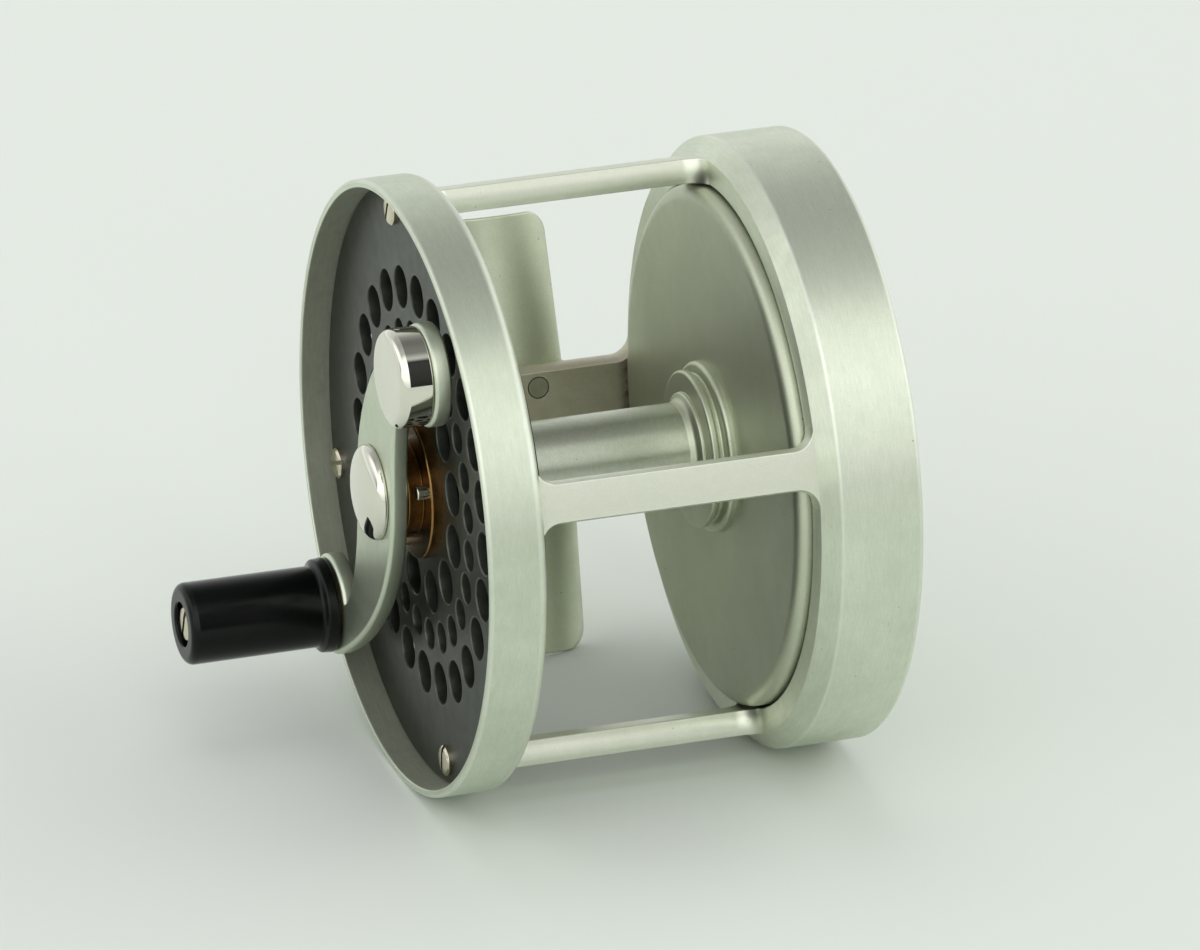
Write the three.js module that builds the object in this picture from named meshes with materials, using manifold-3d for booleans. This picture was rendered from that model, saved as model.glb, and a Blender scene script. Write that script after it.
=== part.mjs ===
// Fly reel: a one-piece cage with a perforated end plate, a spool on a full-length spindle,
// an S-shaped balanced crank, a two-shoe drum brake with a cam dial, and a check pawl.
//
// Millimetres, +Z up. The reel lies as it rests on a table: the spool axis is level along X,
// with the crank at -X and the brake housing at +X, and it stands on both rims and on the
// lower end of its foot. Every section below is drawn about the spool axis (y = z = 0) with
// x = 0 at the front of the crank-side rim; the last lines stand the whole reel on z = 0.
import * as THREE from 'three';
import { mergeVertices } from 'three/addons/utils/BufferGeometryUtils.js';
import Module from 'manifold-3d';

const wasm = await Module();
wasm.setup();

// ---------------------------------------------------------------- driving dimensions
const FIT = 0.3;                  // clearance left between neighbouring pieces
const RIM_R = 44.45;              // both rims: a 3.5 inch reel
const RIM_SIDES = 48;             // facets round a large turned piece
const SMALL_SIDES = 20;           // facets round a small turned piece

const CAGE = {
  outerR: 41.9, innerR: 38.3,     // shell that the four bars are cut from
  frontX: 8.9, rearX: 50.1,       // faces of the two rings, either side of the line space
  barAngles: [72.5, -107.5, 162.5], // three narrow bars, degrees from +Y towards +Z
  barHalf: 2.87, filletR: 3.0,
  footAngle: -17.5, footBarHalf: 10.6,
};
const PLATE = { frontX: 4.45, thick: 1.85, r: 42.9, screwCircle: 39.9 };
const HOLE_ROWS = [
  { count: 24, circle: 28.6, r: 3.05, phase: 12.5, sides: 8 },
  { count: 24, circle: 21.9, r: 2.2, phase: 5, sides: 6 },
  { count: 12, circle: 15.3, r: 3.15, phase: 12.5, sides: 8 },
];
const SPINDLE_R = 3.0;
const SPOOL = {
  flangeR: 37.6, frontX: 9.2, frontThick: 1.6, rearX: 48.1, rearThick: 3.5,
  arborR: 7.0, arborEnd: 47.8, rimRound: 2.0,
};
const BEARING = {
  flangeX: 2.8, flangeR: 10.35, bossX: 0.4, bossR: 6.8, tubeR: 5.0,
  rivetCircle: 9.0, rivetR: 1.0, rivetAngles: [162.5, 42.5, -77.5],
};
const ARM = { frontX: -2.55, backX: 0, reach: 34.1, angle: -51.1, bossR: 7.4, hubHalf: 8.2 };
const WEIGHT = { r: 7.05, length: 4.45 };
const NUT = { r: 6.9, rim: 0.4, dome: 1.9 };
const KNOB = {
  r: 6.0, baseR: 6.95, baseThick: 1.9, length: 22.15, mouthR: 3.25, mouthDepth: 3.0, boreR: 2.9,
  collarR: 5.2, collarThick: 0.35, screwR: 2.7, screwThick: 1.5, screwSunk: 0.4,
};
const DRUM = { frontX: 52.0, endX: 59.0, outerR: 31.0, innerR: 28.6, web: 1.4 };
const SHOE = {
  frontX: 55.6, endX: 58.8, innerR: 22.6, outerR: 26.4, padR: 28.0,
  padAngles: [-62, 66], pivotR: 24.5, pivotPinR: 1.5, springAngle: 64,
};
const COVER = { frontX: 62.1, endX: 64.1, r: 42.3, screwCircle: 40.4, bushR: 5.0 };
const DRAG = {
  z: 24.5, shaftR: 2.2, shaftEnd: 68.0, camShort: 2.1, camLong: 2.9, camGap: 0.5,
  knobR: 7.5, knobEnd: 69.6, screwR: 0.9,
};
const CHECK = { teeth: 24, tipR: 12.0, rootR: 10.7, frontX: 53.9, endX: 55.3 };
const PAWL = { pivot: [-12.2, -9.5], tipY: -11.15, pinR: 0.9 };
const FOOT = {
  centreX: 33.0, seat: 41.2, face: 41.9, thick: 1.9, endThick: 0.9, halfLength: 32.6,
  midHalf: 8.6, endHalf: 7.8, cornerR: 4.0, reelSideR: 13.4, rodSideR: 11.5,
  padHalf: 8.0, padSpread: 10.2, rivetX: 35.0, rivetSpread: 7.3, rivetR: 1.5,
};

// ---------------------------------------------------------------- materials
const finish = (color, roughness, metalness) =>
  new THREE.MeshStandardMaterial({ color, roughness, metalness });
const SATIN = finish(0xb9c1b4, 0.42, 0.9);
const BLASTED = finish(0xb4bcad, 0.55, 0.85);
const ANODISED = finish(0x5c5f58, 0.5, 0.6);
const POLISHED = finish(0xd8d8d2, 0.08, 1.0);
const STEEL = finish(0xa8a79f, 0.3, 0.95);
const NICKEL = finish(0xc2bcab, 0.3, 0.95);
const BRONZE = finish(0x8c5a24, 0.38, 0.9);
const BLACK = finish(0x101112, 0.3, 0.0);
const LEATHER = finish(0x5a4632, 0.85, 0.0);

// ---------------------------------------------------------------- geometry helpers
const rad = THREE.MathUtils.degToRad;
const polar = (r, degrees) => [r * Math.cos(rad(degrees)), r * Math.sin(rad(degrees))];

// Shared corners joined and flattened triangles dropped: a closed, indexed mesh.
function weld(geometry) {
  const bare = geometry.clone();
  for (const name of Object.keys(bare.attributes)) {
    if (name !== 'position') bare.deleteAttribute(name);
  }
  const merged = mergeVertices(bare, 1e-4);
  const index = merged.index.array;
  const kept = [];
  for (let i = 0; i < index.length; i += 3) {
    const [a, b, c] = [index[i], index[i + 1], index[i + 2]];
    if (a !== b && b !== c && c !== a) kept.push(a, b, c);
  }
  merged.setIndex(kept);
  return merged;
}

function toSolid(geometry) {
  const g = weld(geometry);
  return new wasm.Manifold(new wasm.Mesh({
    numProp: 3,
    vertProperties: Float32Array.from(g.attributes.position.array),
    triVerts: Uint32Array.from(g.index.array),
  }));
}

function toGeometry(solid) {
  const mesh = solid.getMesh();
  const g = new THREE.BufferGeometry();
  g.setAttribute('position', new THREE.BufferAttribute(mesh.vertProperties, 3));
  g.setIndex(new THREE.BufferAttribute(mesh.triVerts, 1));
  return g;
}

// A base shape with other shapes joined to it and then cut out of it.
function combine(base, joined, removed) {
  let solid = toSolid(base);
  for (const g of joined) solid = solid.add(toSolid(g));
  for (const g of removed) solid = solid.subtract(toSolid(g));
  return toGeometry(solid);
}

// A profile of [x, radius] points turned about the X axis. A profile that starts and ends
// at radius 0 is a solid bar; any other profile is closed into a ring.
function turned(profile, sides = SMALL_SIDES) {
  const points = profile.map(([x, r]) => new THREE.Vector2(r, x));
  if (THREE.ShapeUtils.area(points) < 0) points.reverse();
  if (points[0].x > 0 || points.at(-1).x > 0) points.push(points[0].clone());
  return new THREE.LatheGeometry(points, sides).rotateZ(-Math.PI / 2);
}

// A plain tube or disc between two x positions.
const tube = (x0, x1, outerR, innerR, sides) =>
  turned([[x0, innerR], [x0, outerR], [x1, outerR], [x1, innerR]], sides);
const bar = (x0, x1, r, sides) => turned([[x0, 0], [x0, r], [x1, r], [x1, 0]], sides);
const movedTo = (geometry, [y, z]) => geometry.translate(0, y, z);

// An outline drawn in (y, z) and extruded along X.
function plateOf(shape, x0, x1, curveSegments = 12) {
  const g = new THREE.ExtrudeGeometry(shape, { depth: x1 - x0, bevelEnabled: false, curveSegments });
  const yzx = new THREE.Matrix4().set(0, 0, 1, 0, 1, 0, 0, 0, 0, 1, 0, 0, 0, 0, 0, 1);
  return g.applyMatrix4(yzx).translate(x0, 0, 0);
}

// A round outline with a chosen number of sides, used as a disc or as a hole.
function roundPath(r, [y, z], sides) {
  const points = [];
  for (let i = 0; i < sides; i += 1) {
    const [dy, dz] = polar(r, i * 360 / sides);
    points.push(new THREE.Vector2(y + dy, z + dz));
  }
  return new THREE.Shape(points);
}

// A shape drawn with its height along Z, turned about the spool axis to point at an angle.
const atAngle = (geometry, degrees) => geometry.rotateX(rad(degrees - 90));

// ---------------------------------------------------------------- the assembly
const reel = new THREE.Group();
function add(name, geometry, material) {
  const mesh = new THREE.Mesh(weld(geometry), material);
  mesh.name = name;
  reel.add(mesh);
  return mesh;
}

// ---------------------------------------------------------------- one-piece frame
function crankSideRing() {
  const seatX = PLATE.frontX + PLATE.thick + FIT;
  const recessR = PLATE.r + FIT;
  return turned([
    [0.6, recessR + 0.15], [0.3, recessR + 0.5], [0.3, RIM_R - 0.45], [0.85, RIM_R],
    [7.3, RIM_R], [8.35, RIM_R - 0.4], [CAGE.frontX, RIM_R - 1.3],
    [CAGE.frontX, 37.2], [seatX, 37.2], [seatX, recessR],
  ], RIM_SIDES);
}

function brakeHousing() {
  const lipX = COVER.frontX - FIT;
  return turned([
    [CAGE.rearX, CAGE.innerR], [CAGE.rearX, CAGE.outerR], [52.5, RIM_R], [63.9, RIM_R],
    [64.7, RIM_R - 0.8], [64.7, COVER.r + FIT], [lipX, COVER.r + FIT], [lipX, CAGE.innerR],
    [59.8, CAGE.innerR], [59.0, 41.4], [53.4, 41.4], [53.4, CAGE.innerR],
  ], RIM_SIDES);
}

// A bar's outline in (x, tangent), flared by a fillet where it meets each ring.
function barBlank(half) {
  const f = CAGE.filletR;
  const [x0, x1] = [CAGE.frontX, CAGE.rearX];
  const shape = new THREE.Shape();
  shape.moveTo(x0 - FIT, -half - f);
  shape.lineTo(x0, -half - f);
  shape.absarc(x0 + f, -half - f, f, Math.PI, Math.PI / 2, true);
  shape.lineTo(x1 - f, -half);
  shape.absarc(x1 - f, -half - f, f, Math.PI / 2, 0, true);
  shape.lineTo(x1 + FIT, -half - f);
  shape.lineTo(x1 + FIT, half + f);
  shape.lineTo(x1, half + f);
  shape.absarc(x1 - f, half + f, f, 0, -Math.PI / 2, true);
  shape.lineTo(x0 + f, half);
  shape.absarc(x0 + f, half + f, f, -Math.PI / 2, -Math.PI, true);
  shape.lineTo(x0 - FIT, half + f);
  const from = CAGE.innerR - 4;
  const g = new THREE.ExtrudeGeometry(shape, { depth: 12, bevelEnabled: false, curveSegments: 4 });
  g.translate(0, 0, from);
  const p = g.attributes.position;          // side walls point at the spool axis
  const meanR = (CAGE.innerR + CAGE.outerR) / 2;
  for (let i = 0; i < p.count; i += 1) p.setY(i, p.getY(i) * p.getZ(i) / meanR);
  return g;
}

const footRivets = [[FOOT.rivetX, -FOOT.rivetSpread], [FOOT.rivetX, FOOT.rivetSpread]];
// A round bar standing radially at (x, tangent) in the foot's frame.
function radialPin([x, t], r, from, to) {
  const g = new THREE.CylinderGeometry(r, r, to - from, 16).rotateX(Math.PI / 2);
  return atAngle(g.translate(x, t, (from + to) / 2), CAGE.footAngle);
}

function cage() {
  const shell = toSolid(tube(CAGE.frontX - FIT, CAGE.rearX + FIT, CAGE.outerR, CAGE.innerR, RIM_SIDES));
  let blanks = toSolid(atAngle(barBlank(CAGE.footBarHalf), CAGE.footAngle));
  for (const angle of CAGE.barAngles) {
    blanks = blanks.add(toSolid(atAngle(barBlank(CAGE.barHalf), angle)));
  }
  let body = shell.intersect(blanks);
  body = body.add(toSolid(crankSideRing())).add(toSolid(brakeHousing()));
  const seatCut = new THREE.BoxGeometry(2 * FOOT.midHalf + 1, 26, 6);
  seatCut.translate(FOOT.centreX, 0, FOOT.seat + 3);
  body = body.subtract(toSolid(atAngle(seatCut, CAGE.footAngle)));
  for (const place of footRivets) {
    body = body.subtract(toSolid(radialPin(place, FOOT.rivetR + FIT, 30, 50)));
  }
  for (const angle of screwAngles) {
    const front = movedTo(bar(PLATE.frontX, CAGE.frontX + 2, 1.2, 8), polar(PLATE.screwCircle, angle));
    const rear = movedTo(bar(58.5, 62.5, 1.2, 8), polar(COVER.screwCircle, angle));
    body = body.subtract(toSolid(front)).subtract(toSolid(rear));
  }
  return toGeometry(body);
}
const screwAngles = [72.5, 162.5, -107.5, -17.5];
add('frame', cage(), SATIN);

// ---------------------------------------------------------------- crank-side end plate
const rivetSpots = BEARING.rivetAngles.map((a) => polar(BEARING.rivetCircle, a));
function facePlate() {
  const disc = roundPath(PLATE.r, [0, 0], RIM_SIDES);
  disc.holes.push(roundPath(BEARING.tubeR + FIT, [0, 0], SMALL_SIDES));
  for (const row of HOLE_ROWS) {
    for (let i = 0; i < row.count; i += 1) {
      const place = polar(row.circle, row.phase + i * 360 / row.count);
      disc.holes.push(roundPath(row.r, place, row.sides));
    }
  }
  for (const angle of screwAngles) {
    disc.holes.push(roundPath(1.3, polar(PLATE.screwCircle, angle), 8));
  }
  for (const spot of rivetSpots) disc.holes.push(roundPath(BEARING.rivetR + FIT, spot, 8));
  return plateOf(disc, PLATE.frontX, PLATE.frontX + PLATE.thick);
}

// A cheese-head screw along +X: head first, shank behind it, a slot across the head.
function slottedScrew(headX, headR, headThick, shankR, endX, slotAngle) {
  const body = turned([[headX, 0], [headX, headR - 0.25], [headX + 0.25, headR],
    [headX + headThick, headR], [headX + headThick, shankR], [endX, shankR], [endX, 0]], 12);
  const slot = new THREE.BoxGeometry(0.7, 2 * headR + 1, 0.22 * headR).rotateX(rad(slotAngle));
  return combine(body, [], [slot.translate(headX, 0, 0)]);
}
add('face_plate', facePlate(), ANODISED);
screwAngles.forEach((angle, i) => {
  const screw = slottedScrew(PLATE.frontX - 0.95, 2.3, 0.65, 0.95, 8.4, angle + 15);
  add(`plate_screw_${i + 1}`, movedTo(screw, polar(PLATE.screwCircle, angle)), NICKEL);
});

// Bronze bearing: a flange riveted to the plate, a boss in front and a tube through it.
function crankBearing() {
  const bore = SPINDLE_R + FIT;
  const body = turned([
    [BEARING.bossX, bore], [BEARING.bossX, BEARING.bossR], [BEARING.flangeX, BEARING.bossR],
    [BEARING.flangeX, BEARING.flangeR], [PLATE.frontX - FIT, BEARING.flangeR],
    [PLATE.frontX - FIT, BEARING.tubeR], [7.6, BEARING.tubeR], [7.6, bore],
  ], 28);
  const holes = rivetSpots.map((spot) => movedTo(bar(2, 5, BEARING.rivetR + FIT, 8), spot));
  return combine(body, [], holes);
}
add('crank_bearing', crankBearing(), BRONZE);
rivetSpots.forEach((spot, i) => {
  add(`bearing_rivet_${i + 1}`, movedTo(bar(1.0, 6.6, BEARING.rivetR, 12), spot), STEEL);
});

// ---------------------------------------------------------------- S-shaped crank
// One half of the arm's outline, from the hub round the boss and back; the other half is
// the same curve turned half a turn.
function armHalf(shape, sign) {
  const at = (y, z) => [sign * y, sign * z];
  const [bossY, bossZ] = polar(ARM.reach, ARM.angle);
  const rim = (degrees) => {
    const [dy, dz] = polar(ARM.bossR, degrees);
    return at(bossY + dy, bossZ + dz);
  };
  const w = ARM.hubHalf;
  const [joinFrom, joinTo, steps] = [-119.4, 157, 14];
  shape.bezierCurveTo(...at(-w, -13.5), ...at(3.0, -24.7), ...rim(joinFrom));
  for (let i = 1; i <= steps; i += 1) {
    shape.lineTo(...rim(joinFrom + (joinTo - joinFrom) * i / steps));
  }
  shape.bezierCurveTo(...at(11.5, -21.6), ...at(w, -15), ...at(w, -6));
}

function crankArm() {
  const w = ARM.hubHalf;
  const outline = new THREE.Shape();
  outline.moveTo(-w, 1);
  armHalf(outline, 1);
  outline.lineTo(w, -1);
  armHalf(outline, -1);
  outline.closePath();
  outline.holes.push(roundPath(SPINDLE_R + FIT, [0, 0], SMALL_SIDES));
  for (const angle of [ARM.angle, ARM.angle + 180]) {
    outline.holes.push(roundPath(1.5 + FIT, polar(ARM.reach, angle), 12));
  }
  return plateOf(outline, ARM.frontX, ARM.backX, 10);
}
const knobPlace = polar(ARM.reach, ARM.angle);
const weightPlace = polar(ARM.reach, ARM.angle + 180);
add('crank_arm', crankArm(), BLASTED);

const weightBack = ARM.frontX - FIT;
const weightFront = weightBack - WEIGHT.length;
const weightBlank = turned([
  [weightFront, 0], [weightFront, WEIGHT.r - 1.3], [weightFront + 0.35, WEIGHT.r - 0.4],
  [weightFront + 1.2, WEIGHT.r], [weightBack, WEIGHT.r], [weightBack, 1.8],
  [weightFront + 2, 1.8], [weightFront + 2, 0],
], 28);
add('counterweight', movedTo(weightBlank, weightPlace), POLISHED);
add('counterweight_screw', movedTo(bar(weightFront + 2.4, ARM.backX, 1.5, 16), weightPlace), STEEL);

const nutBack = ARM.frontX - FIT;
function capNut() {
  const profile = [[nutBack, SPINDLE_R + FIT], [nutBack, NUT.r], [nutBack - NUT.rim, NUT.r]];
  for (let a = 15; a <= 75; a += 15) {
    profile.push([nutBack - NUT.rim - NUT.dome * Math.sin(rad(a)), NUT.r * Math.cos(rad(a))]);
  }
  profile.push([nutBack - NUT.rim - NUT.dome, 0], [nutBack - 1.9, 0], [nutBack - 1.9, SPINDLE_R + FIT]);
  return turned(profile.reverse(), 28);
}
add('crank_cap_nut', capNut(), POLISHED);

// ---------------------------------------------------------------- winding knob
const knobBase = ARM.frontX - FIT;
const knobTip = knobBase - KNOB.length;
const collarFront = knobBase - KNOB.collarThick;
const knobBlank = turned([
  [knobTip + KNOB.mouthDepth, KNOB.boreR], [knobTip + KNOB.mouthDepth, KNOB.mouthR],
  [knobTip, KNOB.mouthR], [knobTip, KNOB.r - 1.2], [knobTip + 0.4, KNOB.r - 0.35],
  [knobTip + 1.3, KNOB.r], [knobBase - KNOB.baseThick - 0.5, KNOB.r],
  [knobBase - KNOB.baseThick, KNOB.baseR - 0.3], [knobBase - KNOB.baseThick + 0.4, KNOB.baseR],
  [knobBase - 0.3, KNOB.baseR], [knobBase, KNOB.baseR - 0.3], [knobBase, KNOB.collarR + FIT],
  [collarFront - FIT, KNOB.collarR + FIT], [collarFront - FIT, KNOB.boreR],
], 24);
add('handle_knob', movedTo(knobBlank, knobPlace), BLACK);
const screwHeadX = knobTip + KNOB.screwSunk;
const bushFront = screwHeadX + KNOB.screwThick + FIT;
const knobBush = turned([
  [bushFront, 1.8], [bushFront, 2.6], [collarFront, 2.6], [collarFront, KNOB.collarR],
  [knobBase, KNOB.collarR], [knobBase, 1.8],
]);
add('knob_bush', movedTo(knobBush, knobPlace), BRONZE);
const knobScrew = slottedScrew(screwHeadX, KNOB.screwR, KNOB.screwThick, 1.5, ARM.backX, 24);
add('knob_screw', movedTo(knobScrew, knobPlace), NICKEL);

// ---------------------------------------------------------------- spindle and spool
add('spindle', bar(nutBack - 1.5, COVER.endX - 0.6, SPINDLE_R), STEEL);

const frontFlangeEnd = SPOOL.frontX + SPOOL.frontThick;
add('spool_front_flange', turned([
  [SPOOL.frontX, SPOOL.arborR + FIT], [SPOOL.frontX, SPOOL.flangeR],
  [frontFlangeEnd - 0.7, SPOOL.flangeR], [frontFlangeEnd, SPOOL.flangeR - 0.7],
  [frontFlangeEnd, SPOOL.arborR + FIT],
], RIM_SIDES), ANODISED);
add('spool_arbor', tube(SPOOL.frontX, SPOOL.arborEnd, SPOOL.arborR, SPINDLE_R + FIT, 24), SATIN);
add('spool_hub', turned([
  [43.1, SPOOL.arborR + FIT], [43.1, 7.6], [44.2, 8.3], [44.8, 8.3], [44.8, 11.0], [45.2, 11.4],
  [45.9, 11.4], [46.1, 10.7], [46.8, 10.7], [46.9, 12.0], [47.3, 12.45],
  [SPOOL.arborEnd, 12.45], [SPOOL.arborEnd, SPOOL.arborR + FIT],
], 24), BLASTED);
const rearFlangeEnd = SPOOL.rearX + SPOOL.rearThick;
add('spool_rear_flange', turned([
  [SPOOL.rearX, SPINDLE_R + FIT], [SPOOL.rearX, SPOOL.flangeR - SPOOL.rimRound],
  [SPOOL.rearX + 0.6, SPOOL.flangeR - 0.6], [SPOOL.rearX + SPOOL.rimRound, SPOOL.flangeR],
  [rearFlangeEnd, SPOOL.flangeR], [rearFlangeEnd, SPINDLE_R + FIT],
], RIM_SIDES), BLASTED);

// ---------------------------------------------------------------- brake and check work
add('brake_drum', turned([
  [DRUM.frontX, SPINDLE_R + FIT], [DRUM.frontX, DRUM.outerR], [DRUM.endX, DRUM.outerR],
  [DRUM.endX, DRUM.innerR], [DRUM.frontX + DRUM.web, DRUM.innerR],
  [DRUM.frontX + DRUM.web, SPINDLE_R + FIT],
], 48), STEEL);

function checkWheel() {
  const pitch = 360 / CHECK.teeth;
  const outline = new THREE.Shape();
  for (let i = 0; i < CHECK.teeth; i += 1) {
    const middle = (i + 0.5) * pitch;
    outline[i ? 'lineTo' : 'moveTo'](...polar(CHECK.rootR, middle - 0.4 * pitch));
    outline.lineTo(...polar(CHECK.tipR, middle - 0.1 * pitch));
    outline.lineTo(...polar(CHECK.tipR, middle + 0.1 * pitch));
    outline.lineTo(...polar(CHECK.rootR, middle + 0.4 * pitch));
  }
  outline.closePath();
  outline.holes.push(roundPath(SPINDLE_R + FIT, [0, 0], SMALL_SIDES));
  return plateOf(outline, CHECK.frontX, CHECK.endX);
}
add('check_wheel', checkWheel(), STEEL);

// A lever hanging from its pivot, with a vee tip that lies between two wheel teeth.
function checkPawl() {
  const [py, pz] = PAWL.pivot;
  const outline = new THREE.Shape();
  outline.absarc(py, pz, 2.0, Math.PI, 2 * Math.PI, false);
  outline.lineTo(py - 0.4, -1.2);
  outline.lineTo(PAWL.tipY, 0);
  outline.lineTo(py - 0.4, 1.2);
  outline.lineTo(py - 2.0, 1.2);
  outline.closePath();
  outline.holes.push(roundPath(PAWL.pinR + FIT, PAWL.pivot, 12));
  return plateOf(outline, CHECK.frontX + 0.1, CHECK.endX - 0.1, 8);
}
add('check_pawl', checkPawl(), STEEL);
add('check_pawl_pin', movedTo(bar(CHECK.frontX, COVER.frontX - FIT, PAWL.pinR, 12), PAWL.pivot), STEEL);

// A leaf spring standing behind the pawl, its root set in a block on the cover.
function checkSpring() {
  const outline = new THREE.Shape();
  outline.moveTo(-15.8, 4.8);
  outline.lineTo(-15.8, 2.6);
  outline.quadraticCurveTo(-14.4, 1.2, -14.55, -1.5);
  outline.lineTo(-14.9, -1.5);
  outline.quadraticCurveTo(-14.9, 1.0, -17.4, 2.4);
  outline.lineTo(-17.4, 4.8);
  outline.closePath();
  const block = new THREE.BoxGeometry(COVER.frontX - FIT - CHECK.frontX, 1.6, 2.0);
  block.translate((COVER.frontX - FIT + CHECK.frontX) / 2, -16.6, 3.8);
  return combine(plateOf(outline, CHECK.frontX + 0.2, CHECK.endX - 0.2, 6), [block], []);
}
add('check_spring', checkSpring(), STEEL);

// A brake shoe: an arc of metal from the pivot at the bottom to the cam at the top.
function arcBand(innerR, outerR, from, to) {
  const outline = new THREE.Shape();
  outline.absarc(0, 0, outerR, rad(from), rad(to), false);
  outline.absarc(0, 0, innerR, rad(to), rad(from), true);
  outline.closePath();
  return outline;
}
function brakeShoe() {
  const pivotSlit = 0.45;         // half the slit between the two shoes at the pivot
  const blank = plateOf(arcBand(SHOE.innerR, SHOE.outerR, -90, 90), SHOE.frontX, SHOE.endX, 12);
  const camGap = new THREE.BoxGeometry(20, 2 * (DRAG.camShort + DRAG.camGap), 12);
  camGap.translate(SHOE.frontX, 0, DRAG.z);
  const slit = new THREE.BoxGeometry(20, 2 * pivotSlit, 12).translate(SHOE.frontX, 0, -DRAG.z);
  const pinHole = movedTo(bar(50, 62, SHOE.pivotPinR + FIT, 16), [0, -SHOE.pivotR]);
  const springNotch = new THREE.BoxGeometry(20, 2.6, 3).translate(SHOE.frontX, 0, SHOE.innerR + 0.4);
  springNotch.rotateX(rad(SHOE.springAngle - 90));
  return combine(blank, [], [camGap, slit, pinHole, springNotch]);
}
function brakePad() {
  return plateOf(arcBand(SHOE.outerR + FIT, SHOE.padR, ...SHOE.padAngles), SHOE.frontX, SHOE.endX, 9);
}
// The opposite shoe is the mirror image: y turned over, with its faces wound back outwards.
function mirrored(geometry) {
  const g = weld(geometry);
  g.scale(1, -1, 1);
  const index = g.index.array;
  for (let i = 0; i < index.length; i += 3) [index[i], index[i + 1]] = [index[i + 1], index[i]];
  return g;
}
add('brake_shoe_foot_side', brakeShoe(), STEEL);
add('brake_pad_foot_side', brakePad(), LEATHER);
add('brake_shoe_front_side', mirrored(brakeShoe()), STEEL);
add('brake_pad_front_side', mirrored(brakePad()), LEATHER);
const pivotPin = bar(SHOE.frontX, COVER.frontX - FIT, SHOE.pivotPinR, 16);
add('shoe_pivot_pin', movedTo(pivotPin, [0, -SHOE.pivotR]), STEEL);

// A bowed wire below the cam, with each end turned up into the notch of one shoe.
function shoeSpring() {
  const points = [];
  const [from, to] = [180 - SHOE.springAngle, SHOE.springAngle];
  const midX = (SHOE.frontX + SHOE.endX) / 2;
  const at = (r, degrees) => points.push(new THREE.Vector3(midX, ...polar(r, degrees)));
  at(SHOE.innerR + 1.0, from);
  for (let i = 0; i <= 6; i += 1) {
    const a = from + (to - from) * i / 6;
    at(SHOE.innerR - 1.2 - 1.8 * Math.sin(Math.PI * i / 6), a);
  }
  at(SHOE.innerR + 1.0, to);
  const wire = roundPath(0.4, [0, 0], 8);
  const extrudePath = new THREE.CatmullRomCurve3(points);
  return new THREE.ExtrudeGeometry(wire, { extrudePath, steps: 22, bevelEnabled: false });
}
add('shoe_spring', shoeSpring(), STEEL);

// ---------------------------------------------------------------- drag dial
function dragCam() {
  const oval = new THREE.Shape();
  oval.absellipse(0, 0, DRAG.camShort, DRAG.camLong, 0, 2 * Math.PI, false, 0);
  const cam = plateOf(oval, SHOE.frontX, SHOE.endX, 8);
  const shaft = bar(SHOE.endX - FIT, DRAG.shaftEnd, DRAG.shaftR - FIT);
  const tapping = bar(DRAG.shaftEnd - 3, DRAG.shaftEnd + 1, DRAG.screwR + FIT, 12);
  return movedTo(combine(cam, [shaft], [tapping]), [0, DRAG.z]);
}
add('drag_cam', dragCam(), STEEL);

function dragKnob() {
  const foot = COVER.endX + FIT;
  const flutes = Array.from({ length: 10 }, (_, i) =>
    movedTo(bar(60, 72, 1.2, 8), polar(DRAG.knobR + 0.55, i * 36)));
  const blank = turned([
    [foot, DRAG.shaftR], [foot, DRAG.knobR - 0.4], [foot + 0.4, DRAG.knobR],
    [DRAG.knobEnd - 0.8, DRAG.knobR], [DRAG.knobEnd, DRAG.knobR - 0.8], [DRAG.knobEnd, 2.9],
    [DRAG.knobEnd - 1.4, 2.9], [DRAG.knobEnd - 1.4, DRAG.shaftR],
  ], 30);
  return movedTo(combine(blank, [], flutes), [0, DRAG.z]);
}
add('drag_knob', dragKnob(), SATIN);
const dragScrew = slottedScrew(-DRAG.knobEnd + 0.2, 2.5, 0.9, DRAG.screwR, -DRAG.shaftEnd + 2.5, 0);
add('drag_knob_screw', movedTo(dragScrew.rotateZ(Math.PI), [0, DRAG.z]), NICKEL);

// ---------------------------------------------------------------- rear cover and bearing
function rearCover() {
  const disc = roundPath(COVER.r, [0, 0], RIM_SIDES);
  disc.holes.push(roundPath(COVER.bushR + FIT, [0, 0], SMALL_SIDES));
  disc.holes.push(roundPath(DRAG.shaftR + FIT, [0, DRAG.z], SMALL_SIDES));
  for (const angle of screwAngles) {
    disc.holes.push(roundPath(1.3, polar(COVER.screwCircle, angle), 8));
  }
  return plateOf(disc, COVER.frontX, COVER.endX);
}
add('rear_cover', rearCover(), SATIN);
screwAngles.forEach((angle, i) => {
  const screw = slottedScrew(-COVER.endX - 0.95, 1.75, 0.65, 0.9, -60.6, 40 * i).rotateZ(Math.PI);
  add(`cover_screw_${i + 1}`, movedTo(screw, polar(COVER.screwCircle, angle)), NICKEL);
});
add('spindle_bush', turned([
  [60.0, SPINDLE_R + FIT], [60.0, 7.2], [COVER.frontX - FIT, 7.2],
  [COVER.frontX - FIT, COVER.bushR], [64.4, COVER.bushR], [64.4, SPINDLE_R + FIT],
]), BRONZE);

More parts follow.
